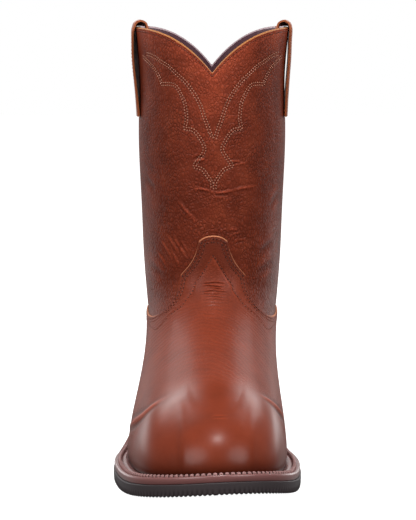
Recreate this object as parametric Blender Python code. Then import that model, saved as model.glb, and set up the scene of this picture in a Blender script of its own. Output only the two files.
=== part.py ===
"""Western boot for the right foot: a hollow leather upper on a stitched welt, a rubber outsole and a heel.

Sizes are in millimetres and the finished meshes are in metres. The toe points along -Y, the inner side of the
foot lies towards +X, and the sole stands on the plane z = 0. A place on the upper is given by an angle round
the boot (0 at the toe, 90 on the inner side, 180 at the heel) and by a climb (0 at the welt, 1 at the throat
where foot turns into shaft, 2 at the collar).
"""

import bpy
import numpy as np

MM = 0.001
GAP = 0.3

# Sole: a flat tread under the ball, a sprung toe, and an arch that rises to the heel seat.
OUTSOLE_THICKNESS = 7.3
WELT_THICKNESS = 4.2
TOE_SPRING = 9.2
TOE_SPRING_POWER = 1.6
TOE_TWIST = 0.05
TREAD_TOE_Y = -150.0
TREAD_FRONT_Y = -78.0
TREAD_BACK_Y = -22.0
BREAST_Y = 82.0
SEAT_HEIGHT = 25.0
SEAT_SLOPE = 0.02

# Welt and outsole edges, measured outwards from the feather line.
REACH_FRONT = 9.8
REACH_HEEL = 4.4
WELT_UNDERLAP = 9.0
WELT_EDGE_ROUND = 0.9
OUTSOLE_EXTRA = 0.5
OUTSOLE_UNDERCUT = 1.2

# Lugs along the edge of the tread.
LUG_PITCH = 6.4
LUG_DEPTH = 1.5
LUG_LENGTH = 9.0
LUG_LAST_ANGLE = 92.0
LUG_SHARES = (0.0, 0.42, 0.5, 0.92)
LUG_END_ANGLE = 2.0

# Heel block.
HEEL_TAPER = 3.0
HEEL_LIFT_TAPER = 2.25
HEEL_BREAST_RAKE = 4.0
HEEL_LIFT = 7.5
HEEL_GROOVE = 0.7
HEEL_BEVEL = 0.8
HEEL_COLUMNS = 15

# Leather.
WALL = 2.2
OVERLAY = 1.3
INSOLE_RISE = 3.0
INSOLE_ROUND = 1.4
INSOLE_INSET = WALL + 0.7
SEAM_ANGLE = 96.0
SEAM_SPLIT = 0.15
SEAM_HALF_WIDTH = 1.9
SEAM_HEIGHT = 0.9
SEAM_EDGE_FALL = 0.75
SEAM_ABOVE_VAMP = 1.0
SEAM_BELOW_STRAP = 1.5
SEAM_ROWS = 12
SEAM_COLUMNS = (-1.0, -0.55, 0.0, 0.55, 1.0)

# Collar: two high sides and a V in front and behind.
COLLAR_HEIGHT = 271.2
COLLAR_DIP = 27.0
COLLAR_POWER = 2.15

# Throat line, highest over the instep.
THROAT_SIDE = 84.0
THROAT_RISE = 38.0

# Pull straps.
STRAP_WIDTH = 34.0
STRAP_THICKNESS = 1.6
STRAP_ANGLE = 90.0
STRAP_COLUMNS = 5

# Feather line, where the upper meets the welt: angle, y, x on the inner side, x on the outer side.
FEATHER = (
    (0.0, -141.5, 5.0, 5.0),
    (18.0, -134.0, 25.0, -16.0),
    (36.0, -113.0, 38.5, -34.0),
    (52.0, -82.0, 44.5, -43.0),
    (66.0, -48.0, 46.0, -47.5),
    (82.0, -8.0, 40.5, -45.0),
    (98.0, 32.0, 33.0, -37.5),
    (120.0, 75.0, 33.5, -30.5),
    (150.0, 124.0, 28.5, -23.0),
    (180.0, 145.4, 2.8, 2.8),
)

# Wall of the foot: angle, rise of the wall at the feather line, its outward lean, drop below the throat.
WALLS = (
    (0.0, 50.0, 1.0, 55.0),
    (30.0, 46.0, 2.0, 52.0),
    (66.0, 27.0, 1.0, 41.0),
    (98.0, 19.0, 0.5, 34.0),
    (140.0, 24.0, 2.0, 28.0),
    (180.0, 26.0, 4.0, 26.0),
)

# Shaft sections: height, y in front, y behind, half width.
LEG_X = 2.6
LEG = (
    (40.0, 15.0, 142.5, 36.5),
    (90.0, 17.0, 138.0, 41.2),
    (125.0, 15.5, 136.0, 43.9),
    (155.0, 13.0, 136.5, 45.1),
    (204.0, 9.5, 139.5, 47.0),
    (240.0, 7.0, 142.0, 46.8),
    (271.5, 4.5, 144.0, 49.6),
)

# Upper edge of the vamp and, behind the side seam, of the counter: angle, height. The tongue stands in front.
OVERLAY_EDGE = (
    (0.0, 141.5),
    (8.0, 140.9),
    (12.0, 138.8),
    (15.0, 131.5),
    (19.0, 125.5),
    (23.0, 120.8),
    (27.0, 117.0),
    (29.5, 108.0),
    (32.0, 103.5),
    (38.0, 96.0),
    (45.0, 92.0),
    (53.0, 90.5),
    (75.0, 91.0),
    (96.0, 95.0),
    (118.0, 88.0),
    (145.0, 93.0),
    (180.0, 116.0),
)

# Middle line of a pull strap: outwards from the rim of the shaft, upwards from the collar.
STRAP_PATH = (
    (-1.5, -57.0),
    (-1.1, -46.0),
    (-0.3, -32.0),
    (0.6, -18.0),
    (1.15, -6.0),
    (1.2, 0.4),
    (0.5, 2.3),
    (-1.3, 3.6),
    (-3.5, 4.0),
    (-5.7, 3.6),
    (-7.5, 2.3),
    (-8.2, 0.4),
    (-8.1, -8.0),
    (-7.6, -22.0),
    (-7.2, -40.0),
)

# Grid of the upper and of what lies over it: angles of the inner side's columns, climbs of the rows up the foot,
# and shares of the way from those to the overlays' edge and from there to the collar.
COLUMNS = (0, 4, 8, 12, 15, 19, 23, 27, 29.5, 32, 38, 45, 53, 61, 70, 79, 88, 96,
           105, 115, 126, 137, 148, 159, 170, 180)
FOOT_ROWS = (0.0, 0.05, 0.11, 0.18, 0.26, 0.35, 0.45, 0.55, 0.66, 0.76, 0.86)
EDGE_ROWS = (0.33, 0.67, 1.0)
SHAFT_ROWS = (0.17, 0.34, 0.52, 0.7, 0.87, 1.0)
SAMPLED_CLIMBS = np.linspace(0.0, 2.0, 161)

# Steps either side of a place for a direction, samples along an edge, and the angle of a sharp edge.
TURN_STEP = 0.4
CLIMB_STEP = 0.01
EDGE_SAMPLES = 1200
SHARP_ANGLE = 40.0


def natural_spline(knots, values):
    """Return a smooth function through the values, straight beyond its ends."""
    knots = np.asarray(knots, float)
    values = np.asarray(values, float)
    count = len(knots)
    spans = np.diff(knots)
    slopes = np.diff(values) / spans
    system = np.eye(count)
    bends = np.zeros(count)
    for row in range(1, count - 1):
        system[row, row - 1] = spans[row - 1]
        system[row, row] = 2.0 * (spans[row - 1] + spans[row])
        system[row, row + 1] = spans[row]
        bends[row] = 6.0 * (slopes[row] - slopes[row - 1])
    bends = np.linalg.solve(system, bends)

    def value(place):
        place = np.asarray(place, float)
        inside = np.clip(place, knots[0], knots[-1])
        row = np.clip(np.searchsorted(knots, inside, side="right") - 1, 0, count - 2)
        step = inside - knots[row]
        span = spans[row]
        slope = slopes[row] - span * (2.0 * bends[row] + bends[row + 1]) / 6.0
        curved = (bends[row + 1] - bends[row]) / (6.0 * span)
        result = values[row] + step * (slope + step * (bends[row] / 2.0 + step * curved))
        start_slope = slopes[0] - spans[0] * bends[1] / 6.0
        end_slope = slopes[-1] + spans[-1] * bends[-2] / 6.0
        result = result + np.minimum(place - knots[0], 0.0) * start_slope
        return result + np.maximum(place - knots[-1], 0.0) * end_slope

    return value


def ring_spline(angles, inner, outer):
    """Return a smooth function of the angle round the boot, from values on its inner and outer sides."""
    angles = list(angles)
    turn = angles + [360.0 - angle for angle in angles[-2:0:-1]]
    values = list(inner) + list(outer[-2:0:-1])
    knots = np.concatenate([np.asarray(turn) + shift for shift in (-360.0, 0.0, 360.0)])
    wave = natural_spline(knots, np.tile(values, 3))
    return lambda angle: wave(np.mod(angle, 360.0))


feather_angles, feather_ys, feather_inner, feather_outer = zip(*FEATHER)
feather_x = ring_spline(feather_angles, feather_inner, feather_outer)
feather_y = ring_spline(feather_angles, feather_ys, feather_ys)

wall_angles, wall_rises, wall_leans, wall_drops = zip(*WALLS)
wall_rise = ring_spline(wall_angles, wall_rises, wall_rises)
wall_lean = ring_spline(wall_angles, wall_leans, wall_leans)
wall_drop = ring_spline(wall_angles, wall_drops, wall_drops)

leg_heights, leg_fronts, leg_backs, leg_widths = zip(*LEG)
leg_front = natural_spline(leg_heights, leg_fronts)
leg_back = natural_spline(leg_heights, leg_backs)
leg_half_width = natural_spline(leg_heights, leg_widths)


def side_angle(angle):
    """Angle from the toe, the same on both sides of the boot."""
    return np.abs(np.mod(np.asarray(angle, float) + 180.0, 360.0) - 180.0)


def smooth_step(share):
    """Ease from 0 to 1."""
    share = np.clip(share, 0.0, 1.0)
    return share * share * (3.0 - 2.0 * share)


def tread_z(x, y):
    """Height of the outsole's underside: sprung at the toe, where the inner side lifts more, and arched."""
    y = np.asarray(y, float)
    toe = np.clip((TREAD_FRONT_Y - y) / (TREAD_FRONT_Y - TREAD_TOE_Y), 0.0, None)
    arch = smooth_step((y - TREAD_BACK_Y) / (BREAST_Y - TREAD_BACK_Y))
    seat = np.maximum(y - BREAST_Y, 0.0)
    spring = (TOE_SPRING + TOE_TWIST * x) * toe ** TOE_SPRING_POWER
    return spring + SEAT_HEIGHT * arch + SEAT_SLOPE * seat


def outsole_top_z(x, y):
    return tread_z(x, y) + OUTSOLE_THICKNESS


def welt_top_z(x, y):
    return outsole_top_z(x, y) + GAP + WELT_THICKNESS


def feather_z(x, y):
    return welt_top_z(x, y) + GAP


def plan_normal(angle):
    """Outward direction across the feather line, seen from above."""
    along_x = feather_x(angle + TURN_STEP) - feather_x(angle - TURN_STEP)
    along_y = feather_y(angle + TURN_STEP) - feather_y(angle - TURN_STEP)
    length = np.hypot(along_x, along_y)
    return along_y / length, -along_x / length


def plan_point(angle, outwards):
    """Place beside the feather line, seen from above."""
    across_x, across_y = plan_normal(angle)
    return feather_x(angle) + outwards * across_x, feather_y(angle) + outwards * across_y


def reach(angle):
    """How far the welt stands out from the feather line."""
    share = smooth_step((side_angle(angle) - SEAM_ANGLE / 2.0) / SEAM_ANGLE)
    return REACH_FRONT + (REACH_HEEL - REACH_FRONT) * share


def sole_middle():
    """Middle of the sole's box, seen from above; the finished boot has it at the origin."""
    angles = np.linspace(0.0, 360.0, EDGE_SAMPLES)
    x, y = plan_point(angles, reach(angles) + OUTSOLE_EXTRA)
    return np.asarray([x.min() + x.max(), y.min() + y.max(), 0.0]) / 2.0


SOLE_MIDDLE = sole_middle()


def leg_point(angle, height):
    """Outside of the shaft at an angle and a height."""
    turn = np.radians(angle)
    middle = (leg_front(height) + leg_back(height)) / 2.0
    half_depth = (leg_back(height) - leg_front(height)) / 2.0
    x = LEG_X + leg_half_width(height) * np.sin(turn)
    y = middle - half_depth * np.cos(turn)
    return np.stack([x, y, height + 0.0 * x], axis=-1)


def throat_z(angle):
    return THROAT_SIDE + THROAT_RISE * ((1.0 + np.cos(np.radians(angle))) / 2.0) ** 2


def collar_z(angle):
    dip = (1.0 - np.abs(np.sin(np.radians(angle)))) ** COLLAR_POWER
    return COLLAR_HEIGHT - COLLAR_DIP * dip


def outside(angle, climb):
    """Point on the outside of the upper."""
    angle, climb = np.broadcast_arrays(np.asarray(angle, float), np.asarray(climb, float))
    throat = throat_z(angle)
    foot_x = feather_x(angle)
    foot_y = feather_y(angle)
    start = np.stack([foot_x, foot_y, feather_z(foot_x, foot_y)], axis=-1)
    across_x, across_y = plan_normal(angle)
    lean = wall_lean(angle)
    lift = np.stack([lean * across_x, lean * across_y, wall_rise(angle)], axis=-1)
    low = leg_point(angle, throat - wall_drop(angle))
    top = leg_point(angle, throat)
    share = np.clip(climb, 0.0, 1.0)[..., None]
    rest = 1.0 - share
    foot = rest ** 3 * start + 3.0 * rest ** 2 * share * (start + lift)
    foot = foot + 3.0 * rest * share ** 2 * low + share ** 3 * top
    height = throat + np.clip(climb - 1.0, 0.0, 1.0) * (collar_z(angle) - throat)
    shaft = leg_point(angle, height)
    return np.where((climb <= 1.0)[..., None], foot, shaft)


def outward(angle, climb):
    """Unit direction out of the upper."""
    angle, climb = np.broadcast_arrays(np.asarray(angle, float), np.asarray(climb, float))
    along = outside(angle + TURN_STEP, climb) - outside(angle - TURN_STEP, climb)
    above = outside(angle, np.minimum(climb + CLIMB_STEP, 2.0))
    below = outside(angle, np.maximum(climb - CLIMB_STEP, 0.0))
    normal = np.cross(along, above - below)
    edge = (climb <= 0.0) | (climb >= 2.0)
    normal[..., 2] = np.where(edge, 0.0, normal[..., 2])
    return normal / np.linalg.norm(normal, axis=-1, keepdims=True)


def layer(angle, climb, offset):
    """Point at a distance outside the upper; the lowest row keeps to the welt."""
    angle, climb = np.broadcast_arrays(np.asarray(angle, float), np.asarray(climb, float))
    point = outside(angle, climb) + offset * outward(angle, climb)
    point[..., 2] = np.where(climb <= 0.0, feather_z(point[..., 0], point[..., 1]), point[..., 2])
    return point


def climb_at(angle, height):
    """Climb at which the upper's outside reaches a height."""
    heights = outside(np.full_like(SAMPLED_CLIMBS, angle), SAMPLED_CLIMBS)[:, 2]
    return np.interp(height, heights, SAMPLED_CLIMBS)


def edge_height(angle):
    """Height of the overlays' upper edge."""
    angles, heights = zip(*OVERLAY_EDGE)
    return np.interp(side_angle(angle), angles, heights)


def overlay_climbs(angles):
    """Rows from the welt to the overlays' upper edge, one column for each angle."""
    tops = np.asarray([climb_at(angle, edge_height(angle)) for angle in angles])
    lower = np.repeat(np.asarray(FOOT_ROWS)[:, None], len(angles), axis=1)
    edge = np.asarray(EDGE_ROWS)[:, None] * (tops - FOOT_ROWS[-1])[None, :] + FOOT_ROWS[-1]
    return np.vstack([lower, edge])


def material(name, hex_colour, roughness):
    """Principled material from an sRGB colour."""
    made = bpy.data.materials.new(name)
    made.use_nodes = True
    shader = made.node_tree.nodes["Principled BSDF"]
    channels = [int(hex_colour[place:place + 2], 16) / 255.0 for place in (0, 2, 4)]
    linear = [((value + 0.055) / 1.055) ** 2.4 if value > 0.04045 else value / 12.92 for value in channels]
    shader.inputs["Base Color"].default_value = (*linear, 1.0)
    shader.inputs["Roughness"].default_value = roughness
    shader.inputs["Metallic"].default_value = 0.0
    made.diffuse_color = (*linear, 1.0)
    return made


def add_object(name, points, faces, finish):
    """Make one named piece from points in millimetres."""
    mesh = bpy.data.meshes.new(name)
    mesh.from_pydata(((np.asarray(points) - SOLE_MIDDLE) * MM).tolist(), [], faces)
    mesh.validate()
    mesh.shade_smooth()
    mesh.set_sharp_from_angle(angle=np.radians(SHARP_ANGLE))
    mesh.materials.append(finish)
    made = bpy.data.objects.new(name, mesh)
    bpy.context.scene.collection.objects.link(made)
    return made


def grid_faces(rows, columns, closed, first, flip):
    """Triangles of a grid of points, all split the same way, wound to face out or, flipped, in."""
    faces = []
    for row in range(rows - 1):
        for column in range(columns if closed else columns - 1):
            beside = (column + 1) % columns
            low = first + row * columns
            high = low + columns
            faces.append((low + column, low + beside, high + beside))
            faces.append((low + column, high + beside, high + column))
    return [face[::-1] for face in faces] if flip else faces


def shell(name, outer, inner, closed, finish):
    """Solid between two grids of points of the same size, joined along their edges."""
    rows, columns = outer.shape[:2]
    points = np.concatenate([outer.reshape(-1, 3), inner.reshape(-1, 3)])
    inside = rows * columns
    faces = grid_faces(rows, columns, closed, 0, False)
    faces += grid_faces(rows, columns, closed, inside, True)
    last = (rows - 1) * columns
    for column in range(columns if closed else columns - 1):
        beside = (column + 1) % columns
        faces.append((column, inside + column, inside + beside, beside))
        faces.append((last + column, last + beside, inside + last + beside, inside + last + column))
    if not closed:
        end = columns - 1
        for row in range(rows - 1):
            low = row * columns
            high = low + columns
            faces.append((low, high, inside + high, inside + low))
            faces.append((low + end, inside + low + end, inside + high + end, high + end))
    return add_object(name, points, faces, finish)


def capped_stack(name, rings, finish):
    """Solid through closed rings from top to bottom; rings run from the toe round both sides to the heel."""
    count = len(rings[0])
    points = np.concatenate(rings)
    faces = grid_faces(len(rings), count, True, 0, True)
    bottom = (len(rings) - 1) * count
    half = count // 2
    for place in range(half):
        far = (count - place) % count
        strip = (place, place + 1, count - place - 1, far)
        if place == 0:
            strip = (0, 1, count - 1)
        if place == half - 1:
            strip = (place, half, far)
        faces.append(strip)
        faces.append(tuple(bottom + corner for corner in reversed(strip)))
    return add_object(name, points, faces, finish)


def both_sides(angles):
    """Angles round the whole boot from those of its inner side."""
    angles = np.asarray(angles, float)
    return np.concatenate([angles, 360.0 - angles[-2:0:-1]])


def plan_ring(angles, outwards, height):
    """Closed ring beside the feather line, at a height given for each place."""
    x, y = plan_point(angles, outwards)
    return np.stack([x, y, height(x, y)], axis=-1)


def make_upper(finish):
    """Hollow wall from the welt to the collar, with a row of points under the overlays' upper edge."""
    angles = both_sides(COLUMNS)
    foot = overlay_climbs(angles)
    shaft = foot[-1] + np.asarray(SHAFT_ROWS)[:, None] * (2.0 - foot[-1])
    climbs = np.vstack([foot, shaft])
    around = angles[None, :]
    return shell("upper", layer(around, climbs, 0.0), layer(around, climbs, -WALL), True, finish)


def make_overlay(name, angles, finish):
    """Leather laid over the upper from the welt to its upper edge."""
    climbs = overlay_climbs(angles)
    around = np.asarray(angles)[None, :]
    outer = layer(around, climbs, GAP + OVERLAY)
    inner = layer(around, climbs, GAP)
    return shell(name, outer, inner, False, finish)


def make_vamp(finish):
    side = [angle for angle in COLUMNS if angle < SEAM_ANGLE] + [SEAM_ANGLE - SEAM_SPLIT]
    angles = [-angle for angle in reversed(side[1:])] + side
    return make_overlay("vamp", angles, finish)


def make_counter(finish):
    side = [SEAM_ANGLE + SEAM_SPLIT] + [angle for angle in COLUMNS if angle > SEAM_ANGLE]
    angles = side + [360.0 - angle for angle in reversed(side[:-1])]
    return make_overlay("counter", angles, finish)


def make_side_seam(name, angle, finish):
    """Raised seam from above the vamp to below the pull strap."""
    lowest = edge_height(angle) + SEAM_ABOVE_VAMP
    highest = COLLAR_HEIGHT + STRAP_PATH[0][1] - SEAM_BELOW_STRAP
    heights = np.linspace(lowest, highest, SEAM_ROWS)
    climbs = np.asarray([climb_at(angle, height) for height in heights])[:, None]
    points = outside(angle, climbs[:, 0])
    ahead = outside(angle + 1.0, climbs[:, 0])
    per_degree = np.linalg.norm(ahead - points, axis=-1)
    turn = (SEAM_HALF_WIDTH / per_degree)[:, None]
    across = np.asarray(SEAM_COLUMNS)[None, :]
    height = SEAM_HEIGHT * (1.0 - SEAM_EDGE_FALL * across ** 2)
    inner = layer(angle + across * turn, climbs, GAP)
    outer = inner + height[..., None] * outward(angle + across * turn, climbs)
    return shell(name, outer, inner, False, finish)


def make_strap(name, angle, finish):
    """Looped strap that hangs over the collar, inside and out."""
    path = np.asarray(STRAP_PATH)
    along = np.gradient(path, axis=0)
    along = along / np.linalg.norm(along, axis=1, keepdims=True)
    beside = np.stack([along[:, 1], -along[:, 0]], axis=1)
    half_depth = (leg_back(COLLAR_HEIGHT) - leg_front(COLLAR_HEIGHT)) / 2.0
    reach_angle = np.degrees(np.arcsin(STRAP_WIDTH / 2.0 / half_depth))
    turns = angle + np.linspace(-reach_angle, reach_angle, STRAP_COLUMNS)
    rim = leg_point(turns, np.full_like(turns, COLLAR_HEIGHT))
    climbs = np.full_like(turns, 2.0)
    out = outward(turns, climbs)
    faces = []
    for side in (0.5, -0.5):
        line = path + side * STRAP_THICKNESS * beside
        grid = rim[None] + line[:, 0, None, None] * out[None]
        grid[..., 2] = COLLAR_HEIGHT + line[:, 1, None]
        faces.append(grid)
    return shell(name, faces[0], faces[1], False, finish)


def make_insole(finish):
    angles = both_sides(COLUMNS)
    rings = [
        plan_ring(angles, -INSOLE_INSET - INSOLE_ROUND, lambda x, y: feather_z(x, y) + INSOLE_RISE),
        plan_ring(angles, -INSOLE_INSET, lambda x, y: feather_z(x, y) + INSOLE_RISE - INSOLE_ROUND),
        plan_ring(angles, -INSOLE_INSET, feather_z),
        plan_ring(angles, -WELT_UNDERLAP - 2.0 * GAP, feather_z),
        plan_ring(angles, -WELT_UNDERLAP - 2.0 * GAP, lambda x, y: outsole_top_z(x, y) + GAP),
    ]
    return capped_stack("insole", rings, finish)


def make_welt(finish):
    """Strip under the edge of the upper, with a rounded outer edge."""
    angles = both_sides(COLUMNS)
    edge = reach(angles)
    rows = (
        (-WELT_UNDERLAP + 0.0 * edge, 0.0),
        (-WELT_UNDERLAP + 0.0 * edge, WELT_THICKNESS),
        (edge - WELT_EDGE_ROUND, WELT_THICKNESS),
        (edge, WELT_THICKNESS - WELT_EDGE_ROUND),
        (edge, WELT_EDGE_ROUND / 2.0),
        (edge - WELT_EDGE_ROUND / 2.0, 0.0),
    )
    rings = []
    for outwards, up in rows:
        rings.append(plan_ring(angles, outwards, lambda x, y: outsole_top_z(x, y) + GAP + up))
    points = np.concatenate(rings)
    count = len(angles)
    faces = grid_faces(len(rings), count, True, 0, True)
    last = (len(rings) - 1) * count
    for column in range(count):
        beside = (column + 1) % count
        faces.append((column, last + column, last + beside, beside)[::-1])
    return add_object("welt", points, faces, finish)


def lug_angles():
    """Angles of the tread's edge: four to each lug in the forefoot, then those of the upper to the heel."""
    fine = np.linspace(0.0, LUG_LAST_ANGLE, EDGE_SAMPLES)
    lengths = []
    for side in (1.0, -1.0):
        x, y = plan_point(side * fine, reach(fine))
        lengths.append(np.concatenate([[0.0], np.cumsum(np.hypot(np.diff(x), np.diff(y)))]))
    length = np.mean(lengths, axis=0)
    lugs = int(length[-1] / LUG_PITCH)
    places = np.asarray([lug + share for lug in range(lugs) for share in LUG_SHARES]) * LUG_PITCH
    angles = np.interp(places + LUG_PITCH * LUG_SHARES[1] / 2.0, length, fine)
    grooved = np.tile((False, True, True, False), lugs)
    rear = np.asarray([angle for angle in COLUMNS if angle > angles[-1] + LUG_END_ANGLE], float)
    angles = np.concatenate([[0.0], angles, rear])
    grooved = np.concatenate([[False], grooved, np.zeros(len(rear), bool)])
    return both_sides(angles), np.concatenate([grooved, grooved[-2:0:-1]])


def make_outsole(finish):
    angles, grooved = lug_angles()
    edge = reach(angles) + OUTSOLE_EXTRA
    top = plan_ring(angles, edge, outsole_top_z)
    middle = plan_ring(angles, edge, lambda x, y: tread_z(x, y) + OUTSOLE_THICKNESS / 2.0)
    tread = plan_ring(angles, edge - OUTSOLE_UNDERCUT, tread_z)
    tread[:, 2] += LUG_DEPTH * grooved
    inner = plan_ring(angles, edge - LUG_LENGTH, tread_z)
    return capped_stack("outsole", [top, middle, tread, inner], finish)


def make_heel(finish):
    """Block under the heel seat, with a straight breast and a groove above its lowest lift."""
    side = np.linspace(0.0, 1.0, HEEL_COLUMNS)
    fine = np.linspace(90.0, 180.0, EDGE_SAMPLES)
    _, fine_y = plan_point(fine, reach(fine) + OUTSOLE_EXTRA)
    start = np.interp(BREAST_Y, fine_y, fine)
    angles = both_sides(np.concatenate([[0.0], start + (180.0 - start) * side]))[1:]
    seat = tread_z(0.0, BREAST_Y) - GAP
    rows = (
        (0.0, None),
        (HEEL_LIFT_TAPER, HEEL_LIFT + HEEL_GROOVE),
        (HEEL_LIFT_TAPER + HEEL_GROOVE, HEEL_LIFT),
        (HEEL_LIFT_TAPER, HEEL_LIFT - HEEL_GROOVE),
        (HEEL_TAPER, HEEL_BEVEL),
        (HEEL_TAPER + HEEL_BEVEL, 0.0),
    )
    rings = []
    for inset, height in rows:
        x, y = plan_point(angles, reach(angles) - inset)
        z = tread_z(x, y) - GAP if height is None else np.full_like(x, height)
        drop = 0.0 if height is None else 1.0 - height / seat
        y = np.maximum(y, BREAST_Y + HEEL_BREAST_RAKE * drop)
        ring = np.stack([x, y, z], axis=-1)
        breast = np.asarray([[(x[0] + x[-1]) / 2.0, (y[0] + y[-1]) / 2.0, (z[0] + z[-1]) / 2.0]])
        rings.append(np.concatenate([breast, ring]))
    return capped_stack("heel", rings, finish)


def main():
    for old in list(bpy.data.objects):
        bpy.data.objects.remove(old, do_unlink=True)
    shaft_leather = material("grained shaft leather", "7a3a2b", 0.5)
    vamp_leather = material("polished vamp leather", "92452f", 0.35)
    strap_leather = material("strap leather", "a0441f", 0.5)
    insole_leather = material("insole leather", "6b4a38", 0.7)
    welt_leather = material("welt leather", "7d5350", 0.6)
    rubber = material("sole rubber", "3a3032", 0.75)
    make_upper(shaft_leather)
    make_insole(insole_leather)
    make_welt(welt_leather)
    make_outsole(rubber)
    make_heel(rubber)
    make_vamp(vamp_leather)
    make_counter(vamp_leather)
    make_side_seam("side_seam_inner", SEAM_ANGLE, shaft_leather)
    make_side_seam("side_seam_outer", 360.0 - SEAM_ANGLE, shaft_leather)
    make_strap("pull_strap_inner", STRAP_ANGLE, strap_leather)
    make_strap("pull_strap_outer", 360.0 - STRAP_ANGLE, strap_leather)


main()
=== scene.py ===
"""Western boot for the right foot, standing empty on its sole in a white studio.

Sizes are in millimetres and the finished meshes are in metres. The toe points along -Y, the inner side of the
foot lies towards +X, and the sole stands on the plane z = 0. A place on the upper is given by an angle round
the boot (0 at the toe, 90 on the inner side, 180 at the heel) and by a climb (0 at the welt, 1 at the throat
where foot turns into shaft, 2 at the collar).
"""

import bpy
import numpy as np
from mathutils.kdtree import KDTree
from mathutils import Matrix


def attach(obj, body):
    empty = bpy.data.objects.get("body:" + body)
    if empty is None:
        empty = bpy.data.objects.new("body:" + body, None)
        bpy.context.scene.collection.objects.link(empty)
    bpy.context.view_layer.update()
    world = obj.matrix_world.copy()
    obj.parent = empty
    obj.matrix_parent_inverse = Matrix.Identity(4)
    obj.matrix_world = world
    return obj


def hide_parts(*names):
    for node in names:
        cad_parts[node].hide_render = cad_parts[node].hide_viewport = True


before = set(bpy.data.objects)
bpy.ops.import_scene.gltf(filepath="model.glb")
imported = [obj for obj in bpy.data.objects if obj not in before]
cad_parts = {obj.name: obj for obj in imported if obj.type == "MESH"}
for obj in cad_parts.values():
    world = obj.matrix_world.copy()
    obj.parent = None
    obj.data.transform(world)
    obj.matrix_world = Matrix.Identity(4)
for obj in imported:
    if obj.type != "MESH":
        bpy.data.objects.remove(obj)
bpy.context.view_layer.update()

# One millimetre in metres, the gap between pieces that touch, and the body that carries every piece.
MM = 0.001
GAP = 0.3
BODY = "root"

# Sole: a flat tread under the ball, a sprung toe, and an arch that rises to the heel seat.
OUTSOLE_THICKNESS = 7.3
WELT_THICKNESS = 4.2
TOE_SPRING = 9.2
TOE_SPRING_POWER = 1.6
TOE_TWIST = 0.05
TREAD_TOE_Y = -150.0
TREAD_FRONT_Y = -78.0
TREAD_BACK_Y = -22.0
BREAST_Y = 82.0
SEAT_HEIGHT = 25.0
SEAT_SLOPE = 0.02

# Welt and outsole edges, measured outwards from the feather line.
REACH_FRONT = 9.8
REACH_HEEL = 4.4
WELT_UNDERLAP = 9.0
OUTSOLE_EXTRA = 0.5

# Heel block.
HEEL_TAPER = 3.0
HEEL_LIFT_TAPER = 2.25
HEEL_BREAST_RAKE = 4.0
HEEL_LIFT = 7.5
HEEL_GROOVE = 0.7
HEEL_BEVEL = 0.8
HEEL_COLUMNS = 60

# Leather: the shaft's own thickness inside the wall, the lining behind it, which fills the wall from a little
# below the shaft's panels, and the leather laid over them.
WALL = 2.2
SHAFT_LEATHER = 1.4
LINING_CLEAR = 0.05
LINING_STEP_BELOW = 2.0
LINING_STEP_LENGTH = 6.0
OVERLAY = 1.3

# Insole: its rise over the feather line, its rounded upper edge, and its inset.
INSOLE_RISE = 3.0
INSOLE_ROUND = 1.4
INSOLE_CORNER = 0.4
INSOLE_INSET = WALL + 0.7
INSOLE_COLUMNS = 240

# Side seams: where they run, the split that they cover, their section, their ends, and the place of the
# stitch rows beside them, in half widths.
SEAM_ANGLE = 96.0
SEAM_SPLIT = 0.15
SEAM_HALF_WIDTH = 1.9
SEAM_HEIGHT = 0.6
SEAM_EDGE_HEIGHT = 0.12
SEAM_UNDERSIDE = 0.05
SEAM_ABOVE_VAMP = 0.2
SEAM_BELOW_STRAP = 1.5
SEAM_ROW = 1.9
SEAM_ROWS = 90
SEAM_COLUMNS = 13

# Collar: two high sides and a V in front and behind.
COLLAR_HEIGHT = 271.2
COLLAR_DIP = 27.0
COLLAR_POWER = 2.15

# Throat line, highest over the instep.
THROAT_SIDE = 84.0
THROAT_RISE = 38.0

# Pull straps: the knots of the path at the top of the loop and at the end of the stitch rows, how the bulge
# of the outer leg spreads, how far the loop is pressed down towards the back, and the place of the stitch
# rows across.
STRAP_WIDTH = 34.0
STRAP_THICKNESS = 1.15
STRAP_ANGLE = 90.0
STRAP_TOP = 8
STRAP_SEWN = 5
STRAP_BULGE_POWER = 0.6
LOOP_PRESS = 0.95
LOOP_PRESS_START = -0.4
LOOP_PRESS_LENGTH = 1.2
STRAP_ROW = 0.86
STRAP_ROWS = 150
STRAP_COLUMNS = 25

# Each strap: name, angle, flatness, how far its outer leg stands off, how much more of that it does behind.
STRAPS = (
    ("pull_strap_inner", STRAP_ANGLE, 0.2, 0.3, 0.5),
    ("pull_strap_outer", 360.0 - STRAP_ANGLE, 0.0, 0.5, -2.6),
)

# Feather line, where the upper meets the welt: angle, y, x on the inner side, x on the outer side.
FEATHER = (
    (0.0, -141.5, 5.0, 5.0),
    (18.0, -134.0, 25.0, -16.0),
    (36.0, -113.0, 38.5, -34.0),
    (52.0, -82.0, 44.5, -43.0),
    (66.0, -48.0, 46.0, -47.5),
    (82.0, -8.0, 40.5, -45.0),
    (98.0, 32.0, 33.0, -37.5),
    (120.0, 75.0, 33.5, -30.5),
    (150.0, 124.0, 28.5, -23.0),
    (180.0, 145.4, 2.8, 2.8),
)

# Wall of the foot: angle, rise of the wall at the feather line, its outward lean, drop below the throat.
WALLS = (
    (0.0, 50.0, 1.0, 55.0),
    (30.0, 46.0, 2.0, 52.0),
    (66.0, 27.0, 1.0, 41.0),
    (98.0, 19.0, 0.5, 34.0),
    (140.0, 24.0, 2.0, 28.0),
    (180.0, 26.0, 4.0, 26.0),
)

# Shaft sections: height, y in front, y behind, half width.
LEG_X = 2.6
LEG = (
    (40.0, 15.0, 142.5, 36.5),
    (90.0, 17.0, 138.0, 41.2),
    (125.0, 15.5, 136.0, 43.9),
    (155.0, 13.0, 136.5, 45.1),
    (204.0, 9.5, 139.5, 47.0),
    (240.0, 7.0, 142.0, 46.8),
    (271.5, 4.5, 144.0, 49.6),
)

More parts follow.
